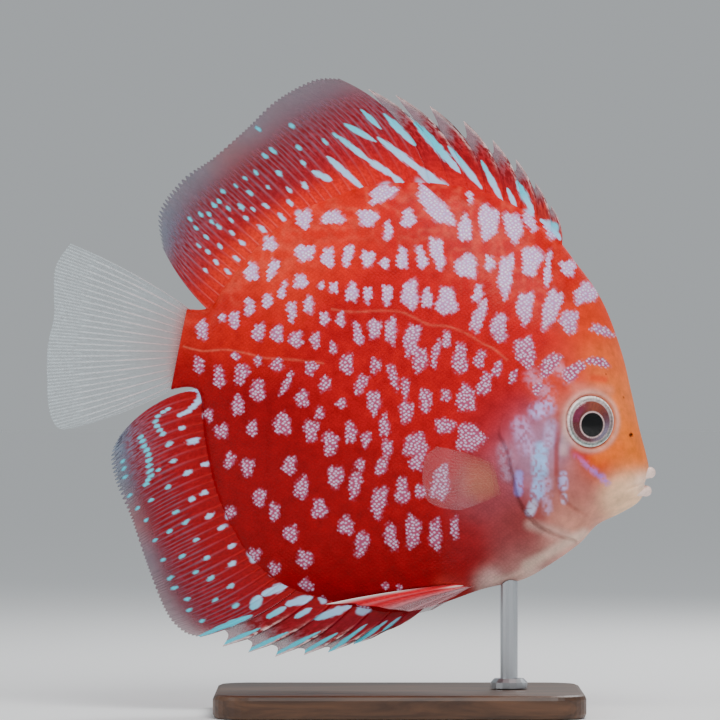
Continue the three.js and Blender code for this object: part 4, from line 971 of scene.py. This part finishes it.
# Longer marks follow the rays: their two ends and width in pixels
DORSAL_STREAKS = [
    (382, 141, 420, 170, 8), (420, 170, 462, 204, 12), (387, 117, 413, 143, 7),
    (418, 126, 456, 168, 9), (451, 150, 479, 185, 7), (362.5, 111, 379, 127, 5),
    (347, 125.5, 373, 140, 6), (340, 138, 368, 160, 6), (368, 160, 392, 175, 7),
    (392, 175, 408, 190, 8), (330, 159, 361, 187, 7), (483, 164, 501, 199, 6),
    (518, 184, 532, 210, 8), (542, 221, 559, 238, 9), (314, 172, 330, 180, 7),
    (508, 190, 516, 208, 5),
]
ANAL_DOTS = [
    (222, 527.5, 8), (232, 546, 8), (232, 564, 8), (207, 558, 7), (211, 578, 7), (231, 586, 7),
    (236, 606, 7), (202, 621, 6), (187, 599, 6), (189, 610, 6), (174.5, 588, 6), (170, 578, 6),
    (170, 531, 6), (192, 499, 7), (204, 493, 7), (210, 515.5, 8), (168, 487, 6), (188, 472.5, 8),
    (205.6, 464, 8), (173, 461, 6), (193, 441, 11), (182, 428, 7), (169, 444, 7), (151, 500, 5),
    (138, 508, 5), (123, 461, 5), (123.5, 469, 5), (125, 477, 5), (130, 495, 5), (176, 512, 6),
    (186, 522, 6), (196, 540, 6), (182, 556, 6), (196, 572, 6), (215, 600, 6), (163, 560, 5),
    (155, 540, 5), (146, 520, 5), (158, 470, 5), (168, 409, 6), (163, 412, 6), (158, 416, 6),
    (156, 421, 6), (157, 426, 6), (160, 430, 6), (163, 434, 6), (141, 437, 6), (142, 441, 6),
    (144, 446, 6), (147, 450, 6), (148, 455, 6), (149, 460, 6), (149, 466, 6), (150, 471, 6),
    (151, 476, 6), (148, 480, 6), (146, 484, 6), (155, 402, 6), (159, 399, 7), (163, 397, 7),
    (167, 395, 7), (171, 393, 7), (175, 391.5, 7), (179, 390.5, 7), (183, 390, 7), (187, 389.5, 7),
    (191, 389, 7), (195, 389.5, 7), (199, 391, 7), (201, 394, 7), (201, 398, 7), (199, 401, 7),
    (196, 404, 7), (192, 407.5, 7), (188, 411, 7), (184, 413.5, 7), (180, 415, 6),
]
ANAL_STREAKS = [
    (264, 594, 286, 585, 9), (252, 608, 260, 597, 10), (288, 604, 310, 598, 9),
    (318, 618, 348, 607, 9), (268, 617, 284, 608, 7), (296, 617, 310, 609, 6),
    (214, 630, 248, 617, 6), (200, 636, 247, 618, 4), (223, 644, 256, 630, 4),
    (248, 651, 284, 634, 4), (272, 656, 315, 634, 4), (299.5, 655, 334, 635, 4),
    (328, 653, 363, 627, 4), (355, 644, 384, 623, 4), (384, 630, 399, 618, 3),
]


def fin_marks(x, z, dots, streaks):
    """Mask of the turquoise dots, drawn out along the rays, and of the longer streaks."""
    mask = np.zeros(x.shape)
    along_x, along_z = np.gradient(x, axis=1), np.gradient(z, axis=1)
    step = np.hypot(along_x, along_z) + 1e-9
    along_x, along_z = along_x / step, along_z / step
    grain = 0.7 + 0.6 * speckle(x, z, 0.55, 6)
    for px, py, size in dots:
        cx, cz = to_mm(px, py)
        down = (x - cx) * along_x + (z - cz) * along_z
        over = (x - cx) * along_z - (z - cz) * along_x
        d = np.hypot(down * 0.62, over * 1.25) * grain
        mask = np.maximum(mask, 1 - smooth(d, size * PIXEL * 0.24, size * PIXEL * 0.46))
    for x0, y0, x1, y1, width in streaks:
        (ax, az), (bx, bz) = to_mm(x0, y0), to_mm(x1, y1)
        long = math.hypot(bx - ax, bz - az)
        t = ((x - ax) * (bx - ax) + (z - az) * (bz - az)) / long ** 2
        off = np.abs((x - ax) * (bz - az) - (z - az) * (bx - ax)) / long
        taper = np.sqrt(np.clip(np.sin(math.pi * np.clip((t + 0.12) / 1.24, 0, 1)), 0, 1))
        ragged = 0.75 + 0.5 * speckle(t * long, off * 4, 1.1, x0)
        half = width * PIXEL / 2 * taper * ragged
        inside = 1 - smooth(off / np.maximum(half, 1e-3), 0.65, 1.15)
        mask = np.maximum(mask, inside * (taper > 0.05))
    return mask


def fin_patches(x, z, table):
    """Colours of a fin from places given in pixels."""
    return patches(x, z, [(*to_mm(px, py), reach, colour) for px, py, reach, colour in table])


def fin_material(name, ray_near, ray_far, ray_part, dash_colour, dash_part, marks_from, marks_to,
                 ray_held=0.45):
    """A thin wet web that the light passes through in part, with rays that hold it back more.

    Streaks of pigment lie along the rays. The joints of real rays are about half a millimetre
    long, too fine to show, so the dashes that stand for them are drawn about 2 mm long. A mesh
    gives the ray's number, the run along it and how far out a place lies as ray_place.
    """
    material, tree, shader = new_material(
        name, roughness=0.4, ior=1.4, specular_ior_level=0.22, coat_weight=0.08, coat_roughness=0.2,
    )
    marks, crest, clear = (attribute(tree, key) for key in ("marks", "crest", "clear"))
    place = attribute(tree, "ray_place", "Vector")
    out = add(tree, "ShaderNodeSeparateXYZ", {0: place}).outputs["Z"]
    long_place = add(tree, "ShaderNodeMapping", {"Vector": place, "Scale": (2.2, 0.5, 0)})
    joints = noise(tree, long_place.outputs[0], 1.3, 3.0, 0.6)
    tone = span(tree, noise(tree, place, 1.6, 4.0, 0.6), 0.3, 0.7, 0.75, 1.25)
    toned = scaled(tree, attribute(tree, "ground", "Vector"), tone)
    # The dashes fade where the web clears and near the body
    dash = combine(tree, "MULTIPLY", span(tree, joints, 0.46, 0.54, 0.0, dash_part),
                   span(tree, clear, 0.1, 0.45, 1.0, 0.15))
    dashed = blend(tree, combine(tree, "MULTIPLY", dash, out), toned, dash_colour)
    ray_share = combine(tree, "MULTIPLY", crest, ray_part)
    rayed = blend(tree, ray_share, dashed, blend(tree, out, ray_near, ray_far))
    marked = blend(tree, marks, rayed, blend(tree, out, marks_from, marks_to))
    tree.links.new(marked, shader.inputs["Base Color"])
    held = span(tree, combine(tree, "MAXIMUM", crest, marks), 0.0, 1.0, 1.0, ray_held)
    alpha = combine(tree, "SUBTRACT", 1.0, combine(tree, "MULTIPLY", clear, held))
    tree.links.new(alpha, shader.inputs["Alpha"])
    emboss(tree, shader, joints, 0.2, 0.0001)
    return material


# A deep red web whose rays turn blue-grey and whose marks turn turquoise on the way out
red_web = fin_material("red_fin_web", "#C01014", "#66748A", 0.5, "#80000C", 0.95, "#B4D4FA",
                       "#38D4EC")


def median_fin(name, line, fin, colours, dots, streaks, nodes):
    """The spiny and the soft part of a fin along the back or belly, each with its marks."""
    parts = (("spiny", spiny_part(line, fin)), ("soft", soft_part(line, fin)))
    for (word, (grid, phase, t)), node in zip(parts, nodes):
        x, z = grid[..., 0], grid[..., 1]
        spiny = word == "spiny"
        if spiny:
            along = phase - np.floor(phase)
            crest = np.exp(-(along / 0.06) ** 2) + np.exp(-((1 - along) / 0.03) ** 2)
            half = web_half(crest, t, (0.16, 0.3), (0.09, 0.14), FOOT)
        else:
            crest = ridges(phase, t)
            half = web_half(crest, t, (0.2, 0.2), (MARGIN_HALF, 0.08), FOOT)
        steps = np.cumsum(np.hypot(np.diff(x), np.diff(z)), axis=1)
        length = np.pad(steps, ((0, 0), (1, 0)))
        clear = 0.45 * smooth(t, 0.6, 0.9) if spiny else 0.6 * smooth(t, fin["clear_from"], 1)
        web_colour = fin_patches(x, z, colours)
        near_body = (1 - smooth(t, 0.1, 0.34))[..., None]
        web_colour += (patches(x, z, SKIN_COLOURS) - web_colour) * near_body
        if spiny:
            # The free end of each lobe is thin and grey, and its spine shows pale along the front
            free = smooth(t + 0.16 * speckle(x, z, 1.2, 4), 0.6, 0.95)[..., None]
            web_colour += (np.array(linear("#8A7480")) - web_colour) * 0.8 * free
            spine = np.exp(-(along / 0.13) ** 2)[..., None] * smooth(t, 0.3, 0.65)[..., None]
            web_colour += (np.array(linear("#FFDCD8")) - web_colour) * 0.95 * spine
        # The flank's spots run on over the foot of the fin
        spots = spot_mask(x.ravel(), z.ravel(), FLANK_SPOTS).reshape(x.shape)
        piece = web(f"{name}_{word}_web", grid, half, swing(grid, t, fin["sway"]), {
            "ground": web_colour,
            "marks": np.maximum(fin_marks(x, z, dots, streaks), 0.9 * spots),
            "crest": np.clip(crest, 0, 1) * (0.15 if spiny else 1),
            "clear": clear,
            "ray_place": np.stack([phase * 2, length * 0.7, smooth(t, 0.1, 0.6)], axis=-1),
        })
        piece.data.materials.append(red_web)
        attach(piece, "root")
        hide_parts(node)


median_fin("dorsal", back_line, DORSAL, DORSAL_COLOURS, DORSAL_DOTS, DORSAL_STREAKS,
           ("dorsal_fin_spiny", "dorsal_fin_soft"))
median_fin("anal", belly_line, ANAL, ANAL_COLOURS, ANAL_DOTS, ANAL_STREAKS,
           ("anal_fin_spiny", "anal_fin_soft"))

# Caudal fin
# A nearly clear fan of sixteen rays that each split twice, reddish at the tail stalk and
# whitish further out, its root 2 mm deep in the stalk.
CAUDAL_MARGIN = [
    (-70.3, 117.4), (-73.8, 112), (-74.4, 106), (-74.4, 99), (-75.9, 92), (-76.1, 84),
    (-75.6, 76), (-73.4, 71.3), (-69.5, 71.2),
]
CAUDAL_BULGE = (0.03, 0.01, -0.01, -0.03)
CAUDAL_RAYS = 16
CAUDAL_SWAY = 2.2
CAUDAL_RUN = 22.4
CAUDAL_COLUMNS = 18
CAUDAL_COLOURS = [
    (176, 345, 3.5, "#C82018"), (156, 345, 4, "#B8A09C"), (110, 345, 7, "#BCCCD2"),
    (60, 345, 8, "#C4D6DE"), (110, 290, 6, "#BCCCD2"), (110, 405, 6, "#BCCCD2"),
]


def fan(root, tip, bulge, knots, rows):
    """Grid, ray phase and reach of a fan of rays from roots to tips."""
    t = np.linspace(0, 1, rows + 1)
    grid = bent(root, tip, bulge, np.ones(1), t)
    return grid, np.repeat(knots[:, None], rows + 1, 1), np.repeat(t[None], len(knots), 0)


# A pale web that shows what stands behind it, with whitish rays
clear_web = fin_material("clear_fin_web", "#C8A0A0", "#F0F8FA", 0.95, "#8E4A44", 0.35, "#DDE6E8",
                         "#DDE6E8", 0.5)
share = np.linspace(0, 1, (CAUDAL_RAYS - 1) * CAUDAL_COLUMNS + 1)
stalk_end = np.array([back_line([0])[0], middle_line([0])[0], belly_line([0])[0]])
place = 0.08 + 1.84 * share
caudal_root = np.stack([np.interp(place, [0, 1, 2], stalk_end[:, i]) for i in (0, 1)], axis=1)
caudal_root[:, 0] += FIN_ROOT
bulge = np.interp(share * 3, [0, 1, 2, 3], CAUDAL_BULGE)
grid, phase, reach = fan(caudal_root, line_through(CAUDAL_MARGIN)(share), bulge,
                         share * (CAUDAL_RAYS - 1), rows=110)
crest = ridges(phase, reach, 0.3)
half = web_half(crest, reach, (0.2, 0.22), (MARGIN_HALF, 0.08), (0.5, 0.08))
caudal = web("caudal_web", grid, half, CAUDAL_SWAY * reach ** 2, {
    "ground": fin_patches(grid[..., 0], grid[..., 1], CAUDAL_COLOURS),
    "marks": np.zeros(reach.shape),
    "crest": crest,
    "clear": 0.5 + 0.4 * smooth(reach, 0.02, 0.16),
    "ray_place": np.stack([phase * 2, reach * CAUDAL_RUN, reach], axis=-1),
})
caudal.data.materials.append(clear_web)
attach(caudal, "root")
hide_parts("caudal_fin")

# Pectoral fins
# A clear fan behind each gill cover, standing out and back from the flank, on a small pale root.
PECTORAL_X = 35.9
PECTORAL_Z = 58.4
PECTORAL_BASE_HALF = 3.4
PECTORAL_MARGIN = [
    (20.5, 8.6), (24, 6.2), (25.2, 2.2), (25, -1.5), (23.5, -4.6), (19, -6.4), (13, -7.2),
]
PECTORAL_TURN = 0.76
PECTORAL_ROOT = 1.6
PECTORAL_BEND = 2.2
PECTORAL_RAYS = 13
PECTORAL_RUN = 18
PECTORAL_COLUMNS = 12
# A clear, faintly orange web, so that the flank and its spots show through
pectoral_web = fin_material("pectoral_fin_web", "#D88060", "#D8B8B8", 0.5, "#C86040", 0.3,
                            "#D89888", "#E4D0D0", 0.9)
share = np.linspace(0, 1, (PECTORAL_RAYS - 1) * PECTORAL_COLUMNS + 1)
root = np.stack(
    [np.full(len(share), -PECTORAL_ROOT), PECTORAL_BASE_HALF * (1 - 2 * share)], axis=1)
bulge = np.interp(share, [0, 0.45, 0.55, 1], [-0.03, -0.01, 0.01, 0.03])
pectoral_grid, phase, reach = fan(root, line_through(PECTORAL_MARGIN)(share), bulge,
                                  share * (PECTORAL_RAYS - 1), rows=70)
crest = ridges(phase, reach, 0.3)
half = web_half(crest, reach, (0.16, 0.14), (MARGIN_HALF, 0.05), (0.5, 0.08))
pectoral_depth = natural_side_y(PECTORAL_X, PECTORAL_Z)
near_tone, far_tone = np.array(linear("#D08468")), np.array(linear("#C8C0C8"))
tone = near_tone + (far_tone - near_tone) * smooth(reach, 0.3, 0.75)[..., None]
across = np.sin(math.pi * phase / (PECTORAL_RAYS - 1))
for side, word in ((-1, "right"), (1, "left")):
    piece = web(f"pectoral_{word}_web", pectoral_grid, half, PECTORAL_BEND * reach * (1 - reach), {
        "ground": tone,
        "marks": 0.3 * np.exp(-reach / 0.04),
        "crest": crest * (1 - smooth(reach, 0.55, 0.85)),
        "clear": 0.94 - 0.26 * (1 - smooth(reach, 0.25, 0.62)) * across,
        "ray_place": np.stack([phase * 2, reach * PECTORAL_RUN, reach], axis=-1),
    })
    co = np.array([v.co for v in piece.data.vertices]) / MM
    turn = math.pi - side * PECTORAL_TURN
    px, py = co[:, 0], co[:, 1] * side
    placed = np.stack([
        PECTORAL_X + px * math.cos(turn) - py * math.sin(turn),
        side * pectoral_depth + px * math.sin(turn) + py * math.cos(turn),
        PECTORAL_Z + co[:, 2],
    ], axis=1)
    piece.data.vertices.foreach_set("co", (placed * MM).astype(np.float32).ravel())
    if side > 0:
        piece.data.flip_normals()
    piece.data.update()
    piece.data.materials.append(pectoral_web)
    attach(piece, "root")
    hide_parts(f"pectoral_fin_{word}")

# Pelvic fins
# Each has one spine and five rays, folded back along the belly. The first ray runs out into a
# long pale filament and is red near the body, with painted highlights on the knob at its root
# and on a short streak of the next ray.
PELVIC_ROOT = (33.6, 32.9)
PELVIC_ROOT_STEP = (-0.75, -0.28)
PELVIC_TIPS = {
    "right": [(-6.4, 27.4), (3, 27), (9.5, 26.2), (14.5, 25.6), (20, 26.6), (26, 29.4)],
    "left": [(-1.5, 24.6), (5.5, 24), (10.5, 23.6), (15, 24.2), (20.5, 25.6), (26, 28.6)],
}
PELVIC_INNER = 1.1
PELVIC_OUTER = 5.2
PELVIC_FLARE = 13
PELVIC_RUN = 28
PELVIC_COLUMNS = 12
# A red web with a white first ray and painted highlights at its root, paler and clearer from the
# second ray on
pelvic_web = fin_material("pelvic_fin_web", "#D01424", "#D88890", 0.4, "#A00418", 0.5, "#FFF8F6",
                          "#FFF4F0")
for side, word in ((-1, "right"), (1, "left")):
    tips = np.array(PELVIC_TIPS[word], float)
    order = np.arange(len(tips))
    knots = np.linspace(0, len(tips) - 1, (len(tips) - 1) * PELVIC_COLUMNS + 1)
    root = np.array(PELVIC_ROOT) + knots[:, None] * np.array(PELVIC_ROOT_STEP)
    tip = np.stack([np.interp(knots, order, tips[:, i]) for i in (0, 1)], axis=1)
    between = knots - np.floor(knots)
    drawn_in = 0.12 * np.sin(math.pi * between) ** 2 * np.exp(-knots)
    tip = root + (tip - root) * (1 - drawn_in)[:, None]
    grid, phase, reach = fan(root, tip, np.full(len(knots), 0.02), knots, rows=90)
    crest = smooth(1 - 2 * np.abs(phase - np.round(phase)), 0.5, 1)
    half = web_half(crest, reach, (0.12, 0.32), (0.048, 0.128), (0.25, 0.06))
    out = smooth(PELVIC_ROOT[0] - grid[..., 0], -1, PELVIC_FLARE)
    sway = side * (PELVIC_INNER + (PELVIC_OUTER - PELVIC_INNER) * out)
    # Pale filament on the first ray; then painted highlights on the second ray and on the root knob
    pale_filament_and_highlights = np.exp(-(phase / 0.22) ** 2) * smooth(reach, 0.35, 0.6)
    pale_filament_and_highlights += np.exp(-((phase - 1) / 0.35) ** 2) * np.exp(-((reach - 0.2) / 0.1) ** 2)
    pale_filament_and_highlights += np.exp(-((reach - 0.06) / 0.035) ** 2) * (1 - smooth(phase, 0.6, 1.4))
    red, pale = np.array(linear("#DC0020")), np.array(linear("#C9A6AC"))
    lower = smooth(phase, 1.2, 2.6)[..., None]
    piece = web(f"pelvic_{word}_web", grid, half, sway, {
        "ground": red + (pale - red) * lower,
        "marks": np.clip(pale_filament_and_highlights + np.exp(-reach / 0.03), 0, 1),
        "crest": crest,
        "clear": 0.7 * smooth(phase, 1.2, 2.6) * smooth(reach, 0.1, 0.5),
        "ray_place": np.stack([phase * 2, reach * PELVIC_RUN, reach], axis=-1),
    })
    piece.data.materials.append(pelvic_web)
    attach(piece, "root")
    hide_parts(f"pelvic_fin_{word}")

# Display stand
# A planed walnut base with rounded edges, oiled, and a turned satin steel rod with a small foot.
# The CAD solids have the right shape, so they only get their materials.

# Oiled wood has a low sheen over brown grain. Its lines lie about 4 mm apart with finer ones
# between, and run along the base.
wood_material, tree, shader = new_material("oiled_walnut", roughness=0.42, ior=1.5)
stretch = add(tree, "ShaderNodeMapping", {
    "Vector": add(tree, "ShaderNodeTexCoord").outputs["Object"], "Scale": (0.12, 1, 1),
})
grain = noise(tree, stretch.outputs[0], 260.0, 8.0, 0.62, 0.8)
wood_colours = add(tree, "ShaderNodeValToRGB", {0: grain})
ramp = wood_colours.color_ramp.elements
for stop, place, colour in zip(ramp, (0.3, 0.72), ("#2E1C12", "#6B4830")):
    stop.position = place
    stop.color = (*linear(colour), 1)
tree.links.new(wood_colours.outputs[0], shader.inputs["Base Color"])
emboss(tree, shader, grain, 0.15, 0.0002)

# Satin steel is bright with soft-edged highlights, uneven over about a millimetre
steel_material, tree, shader = new_material("satin_steel", metallic=1.0, roughness=0.3)
turned = noise(tree, add(tree, "ShaderNodeTexCoord").outputs["Object"], 900.0, 3.0)
tree.links.new(span(tree, turned, 0.0, 1.0, 0.24, 0.4), shader.inputs["Roughness"])
shader.inputs["Base Color"].default_value = (*linear("#B9BCC0"), 1)
for node, material in (("stand_base", wood_material), ("stand_rod", steel_material)):
    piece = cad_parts[node]
    piece.data.materials.clear()
    piece.data.materials.append(material)

# Floor and light
# A plain pale floor that runs far out on all sides under an even pale room, one broad soft lamp
# high in front, a weaker one from behind and the weakest from the side.
FLOOR_HALF = 6000
floor_corners = [(-1, -1), (1, -1), (1, 1), (-1, 1)]
floor = mesh_object("floor", [(x * FLOOR_HALF, y * FLOOR_HALF, 0) for x, y in floor_corners],
                    [[0, 1, 2, 3]], {})
# Matt paper sends back nearly all its light evenly, so the floor runs into the room unseen
floor_material, tree, shader = new_material("pale_paper", roughness=0.9, specular_ior_level=0.1)
shader.inputs["Base Color"].default_value = (*linear("#FEFEFE"), 1)
floor.data.materials.append(floor_material)


def lamp(name, place, aim, size, power):
    """A square soft lamp at a place, aimed at another, in millimetres."""
    light = bpy.data.lights.new(name, "AREA")
    light.size = size * MM
    light.energy = power
    holder = bpy.data.objects.new(name, light)
    bpy.context.scene.collection.objects.link(holder)
    holder.location = Vector(place) * MM
    holder.rotation_euler = (Vector(aim) - Vector(place)).to_track_quat("-Z", "Y").to_euler()


lamp("key_light", (150, -420, 520), (10, 0, 85), 320, 2.8)
lamp("side_light", (-480, -300, 260), (0, 0, 85), 300, 0.8)
lamp("back_light", (200, 380, 420), (0, 0, 100), 260, 1.6)
world = bpy.data.worlds.new("studio")
bpy.context.scene.world = world
world.use_nodes = True
world.node_tree.nodes["Background"].inputs["Color"].default_value = (*linear("#E8EEF2"), 1)
world.node_tree.nodes["Background"].inputs["Strength"].default_value = 0.5
